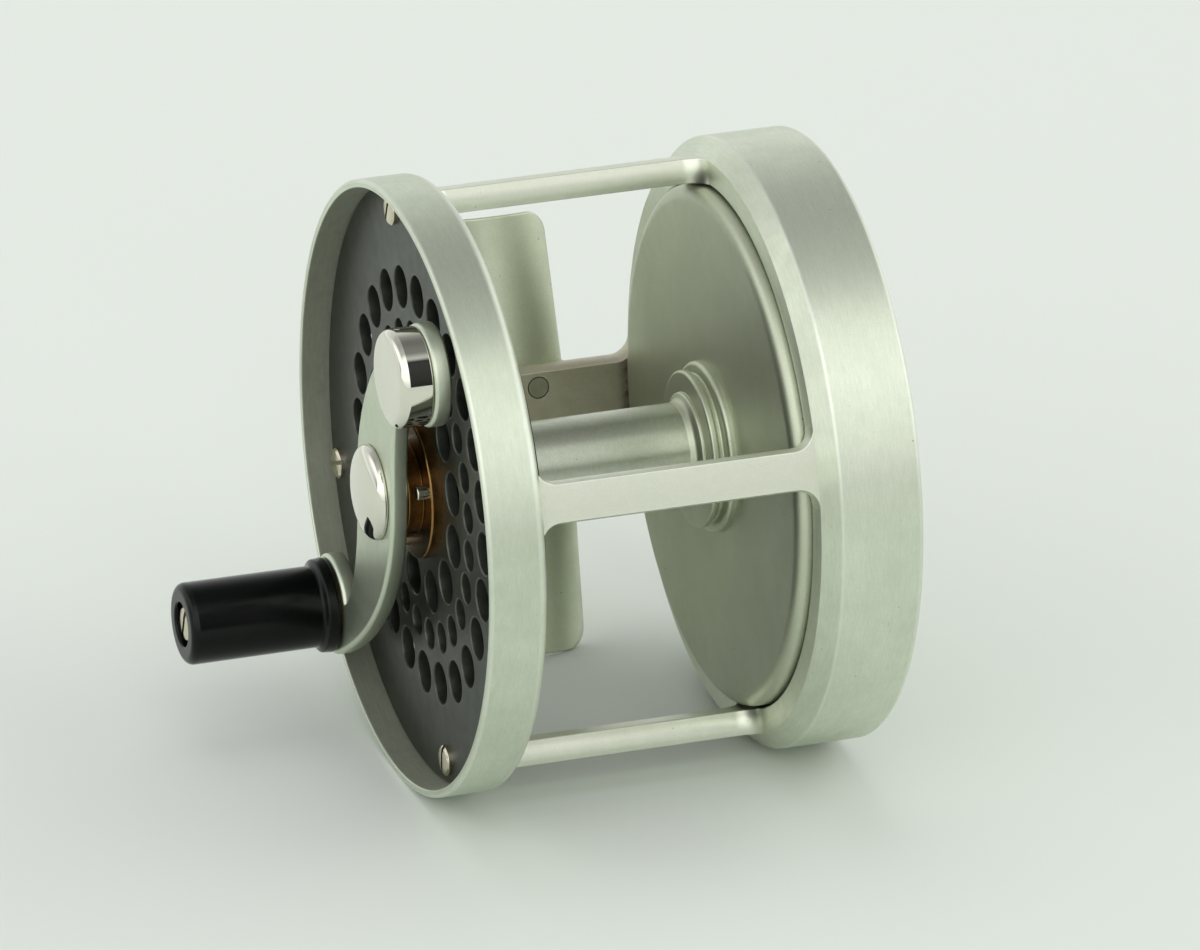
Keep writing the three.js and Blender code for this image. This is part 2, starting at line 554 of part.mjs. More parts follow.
// ---------------------------------------------------------------- foot
// A block bent to a saddle: hollow across for the rod, thinning towards both ends, with
// rounded corners. Local axes: x along the spool, y along the foot, z away from the spool.
function footSaddle() {
  const { centreX, halfLength, cornerR, midHalf, endHalf, face, thick, endThick } = FOOT;
  const sag = (u, r) => r - Math.sqrt(r * r - u * u);
  const g = new THREE.BoxGeometry(2, 2, 1, 8, 18, 1);
  const p = g.attributes.position;
  for (let i = 0; i < p.count; i += 1) {
    const t = halfLength * Math.sin(p.getY(i) * Math.PI / 2);    // rows crowd towards the ends
    const along = Math.abs(t) / halfLength;
    const past = Math.max(0, Math.abs(t) - (halfLength - cornerR));
    const corner = cornerR - Math.sqrt(cornerR ** 2 - past ** 2);
    const half = midHalf + (endHalf - midHalf) * along - corner;
    const u = p.getX(i) * half;
    const taper = (thick - endThick) * Math.max(0, (along - 0.34) / 0.66);
    const reelSide = face + taper + sag(u, FOOT.reelSideR);
    const rodSide = face + thick + sag(u, FOOT.rodSideR);
    p.setXYZ(i, centreX + u, t, p.getZ(i) < 0 ? reelSide : rodSide);
  }
  return g;
}

// The block under the saddle that fits it to the flat on the foot bar.
function footPad() {
  const section = new THREE.Shape();
  const [bottom, top] = [FOOT.seat + FIT, FOOT.face + FOOT.thick / 2];
  const r = (FOOT.reelSideR + FOOT.rodSideR) / 2;
  const spread = Math.asin(FOOT.padHalf / r);
  section.moveTo(-FOOT.padHalf, bottom);
  section.lineTo(FOOT.padHalf, bottom);
  section.absarc(0, top + r, r, spread - Math.PI / 2, -spread - Math.PI / 2, true);
  section.closePath();
  const length = 2 * FOOT.padSpread;
  const g = new THREE.ExtrudeGeometry(section, { depth: length, bevelEnabled: false, curveSegments: 6 });
  return g.translate(0, 0, -length / 2).rotateX(Math.PI / 2).translate(FOOT.centreX, 0, 0);
}

function foot() {
  const blank = combine(footSaddle(), [footPad()], []);
  const holes = footRivets.map((place) => radialPin(place, FOOT.rivetR + FIT, 30, 52));
  return combine(atAngle(blank, CAGE.footAngle), [], holes);
}
add('foot', foot(), BLASTED);
footRivets.forEach((place, i) => {
  add(`foot_rivet_${i + 1}`, radialPin(place, FOOT.rivetR, 38.0, 44.5), STEEL);
});

// ---------------------------------------------------------------- stand it on the table
const box = new THREE.Box3().setFromObject(reel);
const centre = box.getCenter(new THREE.Vector3());
reel.position.set(-centre.x, -centre.y, -box.min.z);

export default reel;
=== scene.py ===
"""Looks of the fly reel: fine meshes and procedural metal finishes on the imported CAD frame.

Lengths in the tables below are millimetres about the spool axis: x runs from the crank side
to the brake housing, with x = 0 near the crank-side rim, and angles go from +Y towards +Z.
"""
import math

import bmesh
import bpy
import numpy as np
from mathutils import Matrix, Vector
from mathutils.geometry import delaunay_2d_cdt


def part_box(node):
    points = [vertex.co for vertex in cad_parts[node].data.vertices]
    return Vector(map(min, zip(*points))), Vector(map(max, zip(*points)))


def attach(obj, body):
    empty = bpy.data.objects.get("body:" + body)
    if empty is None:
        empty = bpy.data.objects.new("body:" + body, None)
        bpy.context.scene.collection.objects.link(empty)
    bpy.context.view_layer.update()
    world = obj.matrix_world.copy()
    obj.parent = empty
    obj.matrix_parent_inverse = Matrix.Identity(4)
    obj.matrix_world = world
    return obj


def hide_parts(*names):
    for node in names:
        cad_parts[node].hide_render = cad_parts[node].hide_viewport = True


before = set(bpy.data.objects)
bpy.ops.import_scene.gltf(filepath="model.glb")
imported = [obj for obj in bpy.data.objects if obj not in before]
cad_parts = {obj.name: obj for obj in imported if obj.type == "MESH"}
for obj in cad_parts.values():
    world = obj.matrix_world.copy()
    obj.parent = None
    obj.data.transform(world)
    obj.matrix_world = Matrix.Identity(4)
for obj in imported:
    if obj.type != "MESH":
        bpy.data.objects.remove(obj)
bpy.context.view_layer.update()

MM = 0.001
RIM_R = 44.45           # half of 3.5 inches
RING_FRONT = 0.3        # the frame's frontmost face
SPINDLE_BORE = 3.3      # the crank bearing's, the arm's and both flanges' bores
SHARP, SOFT = 32, 50    # an edge that turns by more degrees than this is shaded sharp
lo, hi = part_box("frame")
ORIGIN = Vector((lo.x - RING_FRONT * MM, (lo.y + hi.y) / 2, hi.z - RIM_R * MM))  # x = 0 on the axis

# ---------------------------------------------------------------- camera
# solved from the outlines of the two rims in the photo
AZIMUTH, ELEVATION = math.radians(-18.87), math.radians(23.41)
SENSOR_WIDTH, FOCAL_PX, IMAGE_PX = 36, 12152, 1200
LOOK_AT, SHIFT_RIGHT, SHIFT_DOWN, DISTANCE = Vector((30, 0, 0)), 1.26, 1.81, 1729.6
FIT_UNIT = 1.0058       # the camera fit's unit of length, in mm
RIGHT = Vector((math.cos(AZIMUTH), math.sin(AZIMUTH), 0))
BACK = Vector((math.sin(AZIMUTH) * math.cos(ELEVATION), -math.cos(AZIMUTH) * math.cos(ELEVATION),
               math.sin(ELEVATION)))
UP = BACK.cross(RIGHT)
EYE = FIT_UNIT * (LOOK_AT + SHIFT_RIGHT * RIGHT - SHIFT_DOWN * UP + DISTANCE * BACK)
camera = bpy.data.objects.new("camera", bpy.data.cameras.new("camera"))
bpy.context.scene.collection.objects.link(camera)
camera.data.sensor_width = SENSOR_WIDTH
camera.data.lens = SENSOR_WIDTH * FOCAL_PX / IMAGE_PX
camera.data.clip_start, camera.data.clip_end = 0.1, 20
axes = Matrix((RIGHT, UP, BACK)).transposed().to_4x4()
camera.matrix_world = Matrix.Translation(ORIGIN + EYE * MM) @ axes
bpy.context.scene.camera = camera


# ---------------------------------------------------------------- mesh helpers
EDGE_FROM, EDGE_SPAN = 6.0, 7.0         # degrees an edge turns by: no wear below, full wear above
FILLET_SHARE, ARC_STEP = 0.49, 13       # most of a side that a fillet takes; degrees per arc step
SUPPORT, SUPPORT_SHARE = 0.08, 0.1      # a support point's distance from a fillet, and its limit
LIP_SUPPORT = 0.06                      # the same, on the flats of an extruded plate


def polar(r, degrees):
    return r * math.cos(math.radians(degrees)), r * math.sin(math.radians(degrees))


def mark_edges(mesh):
    """A vertex attribute that is 1 on convex roundings and 0 on flats, for worn edges."""
    bm = bmesh.new()
    bm.from_mesh(mesh)
    values = []
    for vert in bm.verts:
        turns = [e.calc_face_angle_signed(0.0) for e in vert.link_edges]
        turn = math.degrees(max(turns, default=0.0))
        values.append(min(1.0, max(0.0, (turn - EDGE_FROM) / EDGE_SPAN)))
    bm.free()
    mesh.attributes.new("edge", "FLOAT", "POINT").data.foreach_set("value", values)


def build(name, verts, faces, centre=(0.0, 0.0), sharp=SHARP):
    """A smooth-shaded mesh object from millimetre points, its origin on the axis at centre."""
    mesh = bpy.data.meshes.new(name)
    mesh.from_pydata([tuple(c * MM for c in v) for v in verts], [], faces)
    mesh.validate()
    mesh.update()
    mesh.shade_smooth()
    mesh.set_sharp_from_angle(angle=math.radians(sharp))
    mark_edges(mesh)
    obj = bpy.data.objects.new(name, mesh)
    bpy.context.scene.collection.objects.link(obj)
    obj.location = ORIGIN + Vector((0, centre[0], centre[1])) * MM
    return obj


def rounded(points, closed):
    """A polyline through (x, r, fillet) corners, with arcs at the fillets and support points."""
    corners = [np.array(p[:2], float) for p in points]
    fillets = [p[2] if len(p) > 2 else 0.0 for p in points]
    n = len(corners)
    out = []
    for i, corner in enumerate(corners):
        if (i in (0, n - 1) and not closed) or fillets[i] == 0:
            out.append(corner)
            continue
        a = corners[i - 1] - corner
        b = corners[(i + 1) % n] - corner
        la, lb = np.linalg.norm(a), np.linalg.norm(b)
        a, b = a / la, b / lb
        half = math.acos(np.clip(a @ b, -1, 1)) / 2
        reach = min(fillets[i] / math.tan(half), FILLET_SHARE * la, FILLET_SHARE * lb)
        r = reach * math.tan(half)
        mid = (a + b) / np.linalg.norm(a + b)
        centre = corner + mid * r / math.sin(half)
        start, end = corner + a * reach - centre, corner + b * reach - centre
        turn = math.pi - 2 * half
        steps = max(2, math.ceil(math.degrees(turn) / ARC_STEP))
        support = min(SUPPORT, SUPPORT_SHARE * la, SUPPORT_SHARE * lb)
        out.append(corner + a * (reach + support))
        for k in range(steps + 1):
            w = k / steps
            p = (math.sin((1 - w) * turn) * start + math.sin(w * turn) * end) / math.sin(turn)
            out.append(centre + p)
        out.append(corner + b * (reach + support))
    return out


def lathe(name, profile, centre=(0.0, 0.0), sides=96, sharp=SHARP, shape=None):
    """A profile turned about X. One that starts and ends at radius 0 is solid, any other a ring.

    shape(r, degrees) can change the radius round the turn, for flutes."""
    solid = profile[0][1] == 0 and profile[-1][1] == 0
    line = rounded(profile, not solid)
    area = sum(line[i - 1][0] * line[i][1] - line[i][0] * line[i - 1][1] for i in range(len(line)))
    if area > 0:
        line.reverse()
    verts, rows = [], []
    for x, r in line:
        if r < 1e-6:
            rows.append([len(verts)] * sides)
            verts.append((x, 0, 0))
        else:
            rows.append(list(range(len(verts), len(verts) + sides)))
            turns = [360 * k / sides for k in range(sides)]
            verts += [(x, *polar(shape(r, a) if shape else r, a)) for a in turns]
    faces = []
    pairs = list(zip(rows, rows[1:])) + ([] if solid else [(rows[-1], rows[0])])
    for a, b in pairs:
        for k in range(sides):
            m = (k + 1) % sides
            face = [a[k], a[m], b[m], b[k]]
            face = [v for j, v in enumerate(face) if v not in face[:j]]
            if len(face) > 2:
                faces.append(face)
    return build(name, verts, faces, centre, sharp)


def circle(r, centre=(0, 0), sides=48):
    """A round outline in (y, z)."""
    return np.array([(centre[0] + r * math.cos(2 * math.pi * k / sides),
                      centre[1] + r * math.sin(2 * math.pi * k / sides)) for k in range(sides)])


def signed_area(loop):
    nxt = np.roll(loop, -1, 0)
    return 0.5 * float(np.sum(loop[:, 0] * nxt[:, 1] - nxt[:, 0] * loop[:, 1]))


def inside(point, loop):
    """Whether a point is within a loop, by how many of its edges a ray to one side crosses."""
    a, b = loop, np.roll(loop, -1, 0)
    crosses = (a[:, 1] > point[1]) != (b[:, 1] > point[1])
    with np.errstate(divide="ignore", invalid="ignore"):
        at = (b[:, 0] - a[:, 0]) * (point[1] - a[:, 1]) / (b[:, 1] - a[:, 1]) + a[:, 0]
    return bool(np.sum(crosses & (point[0] < at)) % 2)


def plate(name, outer, holes, x0, x1, round0, round1, hole_round=0.12):
    """An outline in (y, z) with holes, extruded from x0 to x1, its edges rounded over."""
    loops = [outer if signed_area(outer) > 0 else outer[::-1]]
    loops += [h if signed_area(h) < 0 else h[::-1] for h in holes]
    normals = []
    for loop in loops:
        t = np.roll(loop, -1, 0) - np.roll(loop, 1, 0)
        t /= np.linalg.norm(t, axis=1)[:, None]
        normals.append(np.stack([t[:, 1], -t[:, 0]], 1))

    def levels(r0, r1, steps):
        """The wall from face to face, as an x and how far it stands out from the outline."""
        side0 = [(x0, -r0 - LIP_SUPPORT)]
        side1 = [(x1, -r1 - LIP_SUPPORT)]
        for k in range(steps + 1):
            a = math.pi / 2 * k / steps
            side0.append((x0 + r0 * (1 - math.cos(a)), -r0 * (1 - math.sin(a))))
            side1.append((x1 - r1 * (1 - math.cos(a)), -r1 * (1 - math.sin(a))))
        return side0 + side1[::-1]

    verts, faces, first, last = [], [], [], []
    for i, (loop, normal) in enumerate(zip(loops, normals)):
        rows = levels(round0, round1, 5) if i == 0 else levels(hole_round, hole_round, 3)
        n = len(loop)
        for k, (x, offset) in enumerate(rows):
            ring = loop + normal * offset
            base = len(verts)
            verts += [(x, y, z) for y, z in ring]
            if k == 0:
                first.append((base, ring))
            if k == len(rows) - 1:
                last.append((base, ring))
            if k:
                faces += [(base - n + j, base - n + (j + 1) % n, base + (j + 1) % n, base + j)
                          for j in range(n)]
    for caps, facing in ((first, -1), (last, 1)):
        points, edges, index = [], [], []
        for base, ring in caps:
            start = len(points)
            points += [Vector(p) for p in ring]
            index += range(base, base + len(ring))
            edges += [(start + j, start + (j + 1) % len(ring)) for j in range(len(ring))]
        out = delaunay_2d_cdt(points, edges, [], 0, 1e-7)
        source = [s[0] for s in out[3]]
        for tri in out[2]:
            p = np.array([out[0][v] for v in tri])
            mid = p.mean(0)
            if not inside(mid, caps[0][1]) or any(inside(mid, ring) for _, ring in caps[1:]):
                continue
            face = [index[source[v]] for v in tri]
            faces.append(face if (signed_area(p) > 0) == (facing > 0) else face[::-1])
    return build(name, verts, faces)


def loft(name, sections, sharp=SHARP):
    """Closed sections of equal length joined in order, with one face across each end."""
    n = len(sections[0])
    verts = [p for s in sections for p in s]
    faces = []
    for i in range(len(sections) - 1):
        for j in range(n):
            k = (j + 1) % n
            faces.append((i * n + j, i * n + k, (i + 1) * n + k, (i + 1) * n + j))
    faces.append(list(range(n))[::-1])
    faces.append([(len(sections) - 1) * n + j for j in range(n)])
    return build(name, verts, faces, sharp=sharp)


def cut(obj, cutter):
    """Takes the cutter's shape out of obj and throws the cutter away."""
    mod = obj.modifiers.new("cut", "BOOLEAN")
    mod.operation, mod.solver, mod.object = "DIFFERENCE", "EXACT", cutter
    bpy.context.view_layer.update()
    mesh = bpy.data.meshes.new_from_object(obj.evaluated_get(bpy.context.evaluated_depsgraph_get()))
    obj.modifiers.clear()
    obj.data = mesh
    mesh.shade_smooth()
    mesh.set_sharp_from_angle(angle=math.radians(SHARP))
    bpy.data.objects.remove(cutter)
    return obj


def block(size, middle, centre, turn):
    """A plain block used as a cutter, its middle at x = middle, turned about X by degrees."""
    c, s = math.cos(math.radians(turn)), math.sin(math.radians(turn))
    verts = []
    for i in (-0.5, 0.5):
        for j in (-0.5, 0.5):
            for k in (-0.5, 0.5):
                y, z = j * size[1], k * size[2]
                verts.append((middle + i * size[0], c * y - s * z, s * y + c * z))
    faces = [(0, 1, 3, 2), (4, 6, 7, 5), (0, 4, 5, 1), (2, 3, 7, 6), (0, 2, 6, 4), (1, 5, 7, 3)]
    return build("cutter", verts, faces, centre)


# ---------------------------------------------------------------- materials
class Graph:
    """Short calls for the nodes that the finishes share."""

    def __init__(self, tree):
        self.nodes, self.links = tree.nodes, tree.links

    def node(self, kind, **inputs):
        n = self.nodes.new("ShaderNode" + kind)
        for key, value in inputs.items():
            self.put(n.inputs[key], value)
        return n

    def put(self, socket, value):
        if isinstance(value, bpy.types.NodeSocket):
            self.links.new(value, socket)
        else:
            socket.default_value = value

    def math(self, op, a, b=0.0, clamp=False):
        n = self.node("Math")
        n.operation, n.use_clamp = op, clamp
        self.put(n.inputs[0], a)
        self.put(n.inputs[1], b)
        return n.outputs[0]

    def ramp(self, value, low, high, out_low=0.0, out_high=1.0):
        n = self.node("MapRange")
        for i, v in enumerate((value, low, high, out_low, out_high)):
            self.put(n.inputs[i], v)
        return n.outputs[0]

    def mix(self, share, a, b):
        n = self.node("Mix")
        n.data_type = "RGBA"
        self.put(n.inputs[0], share)
        self.put(n.inputs[6], a)
        self.put(n.inputs[7], b)
        return n.outputs[2]

    def noise(self, vector, scale, detail=3.0, rough=0.55):
        n = self.node("TexNoise", Vector=vector, Scale=scale, Detail=detail, Roughness=rough)
        return n.outputs["Fac"]

    def combine(self, x, y, z):
        n = self.node("CombineXYZ")
        for i, v in enumerate((x, y, z)):
            self.put(n.inputs[i], v)
        return n.outputs[0]


def new_material(name):
    mat = bpy.data.materials.new(name)
    mat.use_nodes = True
    return mat, Graph(mat.node_tree), mat.node_tree.nodes["Principled BSDF"]


def rgb(r, g, b):
    """An sRGB colour from 0 to 255 as a linear one."""
    return tuple((c / 255 / 12.92 if c / 255 < 0.04045 else ((c / 255 + 0.055) / 1.055) ** 2.4)
                 for c in (r, g, b)) + (1.0,)


SPECK, OIL_AND_SHADE_TINT = (64, 56, 42), (74, 58, 38)       # pits, and the brown of old oil that tints the painted shade in the creases
CREASE_REACH = 2.2
WORN_LIGHTER = 40                               # how much lighter worn edges are, of 255


def metal(name, base, dark, rough, turned=0.0, grain=0.0, along=0.0, metallic=1.0, specks=0.0,
          oil_and_crease_shade=0.0, oil_and_shade_color=OIL_AND_SHADE_TINT, wear=0.0, aniso=0.0, mottle=0.45):
    """A metal finish. turned is the depth of fine lines round the axis, along that of lines along
    X, grain that of bead-blast grain, all in mm; specks, the darkening of creases and mottle are
    shares of cover. The creases are darkened where ambient occlusion finds them: painted shade,
    tinted with the brown of old oil."""
    mat, g, shader = new_material(name)
    where = g.node("TexCoord").outputs["Object"]
    split = g.node("SeparateXYZ", Vector=where)
    x, y, z = (split.outputs[i] for i in range(3))
    angle = g.math("ARCTAN2", z, y)
    radius = g.math("SQRT", g.math("ADD", g.math("MULTIPLY", y, y), g.math("MULTIPLY", z, z)))
    # lines round the axis and along X come from noise that is squeezed the other way
    arc = g.math("MULTIPLY", g.math("ABSOLUTE", angle), 0.004)
    ring = g.combine(x, radius, arc)
    lines = g.noise(ring, scale=4500, detail=5, rough=0.7)
    broad = g.noise(ring, scale=1400, detail=2, rough=0.5)
    fine = g.noise(where, scale=5200, detail=3, rough=0.6)
    cloud = g.noise(where, scale=90, detail=4, rough=0.6)
    patch = g.noise(where, scale=420, detail=3, rough=0.6)
    drawn = g.noise(g.combine(g.math("MULTIPLY", x, 0.03), y, z), scale=7000, detail=4, rough=0.6)

    shade = g.ramp(g.math("ADD", g.math("MULTIPLY", cloud, 0.6), g.math("MULTIPLY", patch, 0.4)),
                   0.36, 0.64, 0.0, 1.0)
    color = g.mix(g.math("MULTIPLY", shade, mottle), rgb(*base), rgb(*dark))
    if turned:
        color = g.mix(g.math("MULTIPLY", g.ramp(lines, 0.42, 0.62), 0.42), color, rgb(*dark))
        color = g.mix(g.math("MULTIPLY", g.ramp(broad, 0.45, 0.7), 0.2), color, rgb(*dark))
    if grain:
        color = g.mix(g.math("MULTIPLY", g.ramp(fine, 0.42, 0.62), 0.3), color, rgb(*dark))
    if specks:
        cells = g.node("TexVoronoi", Vector=where, Scale=700.0)
        hit = g.ramp(cells.outputs["Distance"], 0.05, 0.11, 1.0, 0.0)
        some = g.ramp(g.noise(where, 260, 2), 0.60 - 0.1 * specks, 0.66, 0.0, 1.0)
        color = g.mix(g.math("MULTIPLY", g.math("MULTIPLY", hit, some), 0.6), color, rgb(*SPECK))
    # painted shade: ambient occlusion darkens the creases and hollows, tinted with the brown of old oil
    if oil_and_crease_shade:
        occlusion = g.node("AmbientOcclusion", Distance=CREASE_REACH * MM)
        crease = g.ramp(occlusion.outputs["AO"], 0.35, 0.85, 1.0, 0.0)
        ragged = g.ramp(g.noise(where, 800, 4, 0.7), 0.35, 0.65)
        share = g.math("MULTIPLY", g.math("MULTIPLY", crease, ragged), oil_and_crease_shade, True)
        color = g.mix(share, color, rgb(*oil_and_shade_color))
    if wear:
        edge = g.node("Attribute")
        edge.attribute_name = "edge"
        worn = g.math("MULTIPLY", edge.outputs["Fac"], g.ramp(patch, 0.3, 0.6, 0.4, 1.0))
        bare = rgb(*[min(255, c + WORN_LIGHTER) for c in base])
        color = g.mix(g.math("MULTIPLY", worn, wear), color, bare)
    g.put(shader.inputs["Base Color"], color)
    shader.inputs["Metallic"].default_value = metallic
    # the roughness wanders with the same clouds and patches as the colour
    level = g.math("ADD", rough, g.math("MULTIPLY", g.math("SUBTRACT", cloud, 0.5), 0.16))
    level = g.math("ADD", level, g.math("MULTIPLY", g.math("SUBTRACT", patch, 0.5), 0.1), True)
    g.put(shader.inputs["Roughness"], level)
    shader.inputs["Anisotropic"].default_value = aniso
    if aniso:
        tangent = g.node("Tangent")
        tangent.direction_type, tangent.axis = "RADIAL", "X"
        g.put(shader.inputs["Tangent"], tangent.outputs[0])
        shader.inputs["Anisotropic Rotation"].default_value = 0.25      # a quarter turn
    height = None
    for depth, field in ((turned, lines), (grain, fine), (along, drawn)):
        if depth:
            part = g.math("MULTIPLY", field, depth * MM)
            height = part if height is None else g.math("ADD", height, part)
    if height is not None:
        bump = g.node("Bump", Strength=1.0, Distance=1.0, Height=height)
        g.put(shader.inputs["Normal"], bump.outputs["Normal"])
    return mat


def plain(name, base, dark, rough, bump=0.0, shine=0.5, scale=2500):
    """A dielectric finish, such as hard rubber or leather, with a mottled grain."""
    mat, g, shader = new_material(name)
    where = g.node("TexCoord").outputs["Object"]
    cloud = g.noise(where, scale=260, detail=4, rough=0.6)
    fine = g.noise(where, scale=scale, detail=3, rough=0.6)
    g.put(shader.inputs["Base Color"], g.mix(g.ramp(cloud, 0.35, 0.65), rgb(*base), rgb(*dark)))
    g.put(shader.inputs["Roughness"],
          g.math("ADD", rough, g.math("MULTIPLY", g.math("SUBTRACT", fine, 0.5), 0.14), True))
    shader.inputs["Specular IOR Level"].default_value = shine
    if bump:
        out = g.node("Bump", Strength=1.0, Distance=1.0, Height=g.math("MULTIPLY", fine, bump * MM))
        g.put(shader.inputs["Normal"], out.outputs["Normal"])
    return mat


# in these finishes the share that darkens creases is painted shade from ambient occlusion, oil brown
# or, on the dark plate, near black
SATIN = metal("satin_turned", (228, 234, 217), (202, 209, 190), 0.4, turned=0.004, grain=0.001,
              specks=0.1, oil_and_crease_shade=0.15, wear=0.3, aniso=0.75)
# the same finish as SATIN, only darker: painted shade, so that the crank ring looks less lit than the
# brake housing
RING_SATIN_SHADED = metal("satin_ring_painted_darker", (219, 226, 208), (194, 202, 183), 0.4, turned=0.004, grain=0.001,
                   specks=0.1, oil_and_crease_shade=0.15, wear=0.3, aniso=0.75)
# the ring's wall inside the recess: a rougher finish, and a darker colour that is painted shade
RECESS_SHADED = metal("satin_recess_shaded", (172, 176, 160), (148, 151, 136), 0.65, turned=0.004, metallic=0.7,
               oil_and_crease_shade=0.15)
BAR_SATIN = metal("satin_drawn", (233, 236, 220), (206, 211, 192), 0.4, grain=0.002, along=0.003,
                  specks=0.2, oil_and_crease_shade=0.3, wear=0.3)
# the foot bar: heavy specks, and the most painted shade in its creases
STAINED_AND_SHADED = metal("satin_stained_and_crease_shaded", (206, 202, 184), (170, 160, 136), 0.42, grain=0.003, along=0.002,
                specks=0.8, oil_and_crease_shade=0.6)
BLASTED = metal("blasted", (209, 214, 193), (178, 184, 161), 0.46, grain=0.006, specks=0.3,
                oil_and_crease_shade=0.15, wear=0.2, mottle=0.25)
# the blasted finish, darker for the rear flange deep in the cage: painted shade
FLANGE_SHADED = metal("flange_blasted_shaded", (196, 201, 181), (168, 174, 152), 0.46, grain=0.006, specks=0.3,
               oil_and_crease_shade=0.15, wear=0.2, mottle=0.25)
ARM = metal("arm_blasted", (205, 212, 193), (183, 190, 171), 0.4, grain=0.003,
            oil_and_crease_shade=0.3, wear=0.2)
ARBOR = metal("arbor_turned", (204, 209, 192), (172, 178, 160), 0.32, turned=0.002, grain=0.002,
              specks=0.1, oil_and_crease_shade=0.4, aniso=0.5)
# its creases are darkened near black: painted shade
DARK_PLATE = metal("dark_anodised", (63, 66, 59), (46, 48, 42), 0.36, grain=0.003,
                   metallic=0.75, oil_and_crease_shade=0.2, oil_and_shade_color=(30, 30, 27), wear=0.6)
BLACK_PLATE = metal("black_anodised", (34, 35, 33), (24, 25, 24), 0.42, grain=0.003, metallic=0.5)
MIRROR = metal("polished", (228, 227, 215), (214, 213, 201), 0.045)
STEEL = metal("turned_steel", (196, 195, 188), (150, 149, 142), 0.24, turned=0.003, oil_and_crease_shade=0.4)
NICKEL = metal("nickel", (222, 214, 194), (186, 176, 152), 0.22, turned=0.001, oil_and_crease_shade=0.35, wear=0.3)
BRONZE = metal("bronze", (144, 106, 58), (80, 57, 30), 0.3, turned=0.004, oil_and_crease_shade=0.6,
               oil_and_shade_color=(40, 24, 12), wear=0.4)
# the rivets' rims and the groove round them are darkened by painted shade from ambient occlusion
RIVET = metal("rivet", (168, 168, 148), (128, 124, 106), 0.36, grain=0.003, oil_and_crease_shade=0.6,
              oil_and_shade_color=(40, 32, 22))
KNOB = plain("black_composite", (2, 4, 4), (4, 6, 6), 0.2, bump=0.0004, shine=0.22)
LEATHER = plain("brake_leather", (96, 74, 52), (70, 52, 36), 0.8, bump=0.03, scale=1400)


# ---------------------------------------------------------------- putting pieces on the frame
def dress(obj, material, body, slot, *nodes):
    """Gives a piece its finish and its body, and hides the CAD nodes that it stands for. slot is not
    used.
    """
    obj.data.materials.clear()
    obj.data.materials.append(material)
    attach(obj, body)
    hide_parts(*nodes)


# ---------------------------------------------------------------- one-piece frame
# FRONT_X is the crank ring's back and REAR_X the housing's front, with the bars between them
CAGE_IN, CAGE_OUT = 38.3, 41.9
MEAN_R = (CAGE_IN + CAGE_OUT) / 2
FRONT_X, REAR_X = 8.9, 50.1
TOP_ANGLE, BOTTOM_ANGLE, FRONT_ANGLE, FOOT_ANGLE = 72.5, -107.5, 162.5, -17.5
BAR_HALF, FOOT_BAR_HALF = 2.87, 10.6
SEAT_H, SEAT_FROM, SEAT_TO = 41.2, 23.9, 42.1       # the flat under the foot
LEDGE_R, LEDGE_X = 37.2, 6.6                        # the ledge behind the end plate
RECESS_R, RECESS_LIP_R = 43.2, 43.25
RECESS_PAINT_R, RECESS_PAINT_X = 43.3, 6            # within these the ring has a rougher finish, and a darker colour that is painted shade in the recess
RIM_SIDES = 288
BEVEL_X, BACK_X = 52.5, 64.7
COVER_SEAT_X, COVER_SEAT_R = 61.8, 42.6
ROOM_FRONT, ROOM_BACK, ROOM_NECK, ROOM_R = 53.4, 59.0, 59.8, 41.4     # for the brake

crank_ring = lathe("frame_crank_ring", [
    (RING_FRONT, RECESS_LIP_R, 0.3), (RING_FRONT, RIM_R, 0.55), (FRONT_X, RIM_R, 1.5),
    (FRONT_X, LEDGE_R, 0.2), (LEDGE_X, LEDGE_R, 0.1), (LEDGE_X, RECESS_R)], sides=RIM_SIDES)
dress(crank_ring, RING_SATIN_SHADED, "frame", "satin_aluminium", "frame")
crank_ring.data.materials.append(RECESS_SHADED)
# faces in the recess get the darker finish, which paints shade on the wall
for face in crank_ring.data.polygons:
    if face.center.yz.length < RECESS_PAINT_R * MM and face.center.x < RECESS_PAINT_X * MM:
        face.material_index = 1

housing = lathe("frame_brake_housing", [
    (REAR_X, CAGE_IN, 0.25), (REAR_X, CAGE_OUT, 0.12), (BEVEL_X, RIM_R, 0.7), (BACK_X, RIM_R, 0.8),
    (BACK_X, COVER_SEAT_R, 0.2), (COVER_SEAT_X, COVER_SEAT_R), (COVER_SEAT_X, CAGE_IN, 0.1),
    (ROOM_NECK, CAGE_IN), (ROOM_BACK, ROOM_R), (ROOM_FRONT, ROOM_R), (ROOM_FRONT, CAGE_IN)],
    sides=RIM_SIDES)
dress(housing, SATIN, "frame", "satin_aluminium", "frame")


def bar_outline(h, across):
    """A bar's section in (across, radius): crisp faces inside and out, barrelled side walls."""
    crisp, hollow, barrel = 0.16, 0.22, 0.42
    face = h - hollow - crisp
    depth = (CAGE_OUT - CAGE_IN) / 2
    side = []
    for k in range(4):
        a = math.pi / 2 * k / 3
        side.append((face + crisp * math.sin(a), depth - crisp * (1 - math.cos(a))))
    for k in range(1, 9):
        v = (depth - crisp) * (1 - 2 * k / 9)
        side.append((face + crisp + barrel * (1 - (v / (depth - crisp)) ** 2), v))
    side += [(u, -v) for u, v in side[3::-1]]
    flat = [face - 0.1] + [(face - 0.1) * (1 - 2 * k / across) for k in range(1, across)]
    flat.append(0.1 - face)
    loop = [(u, depth) for u in flat[::-1]] + side
    loop += [(u, -depth) for u in flat] + [(-u, v) for u, v in side[::-1]]
    return [(u, MEAN_R + v) for u, v in loop]


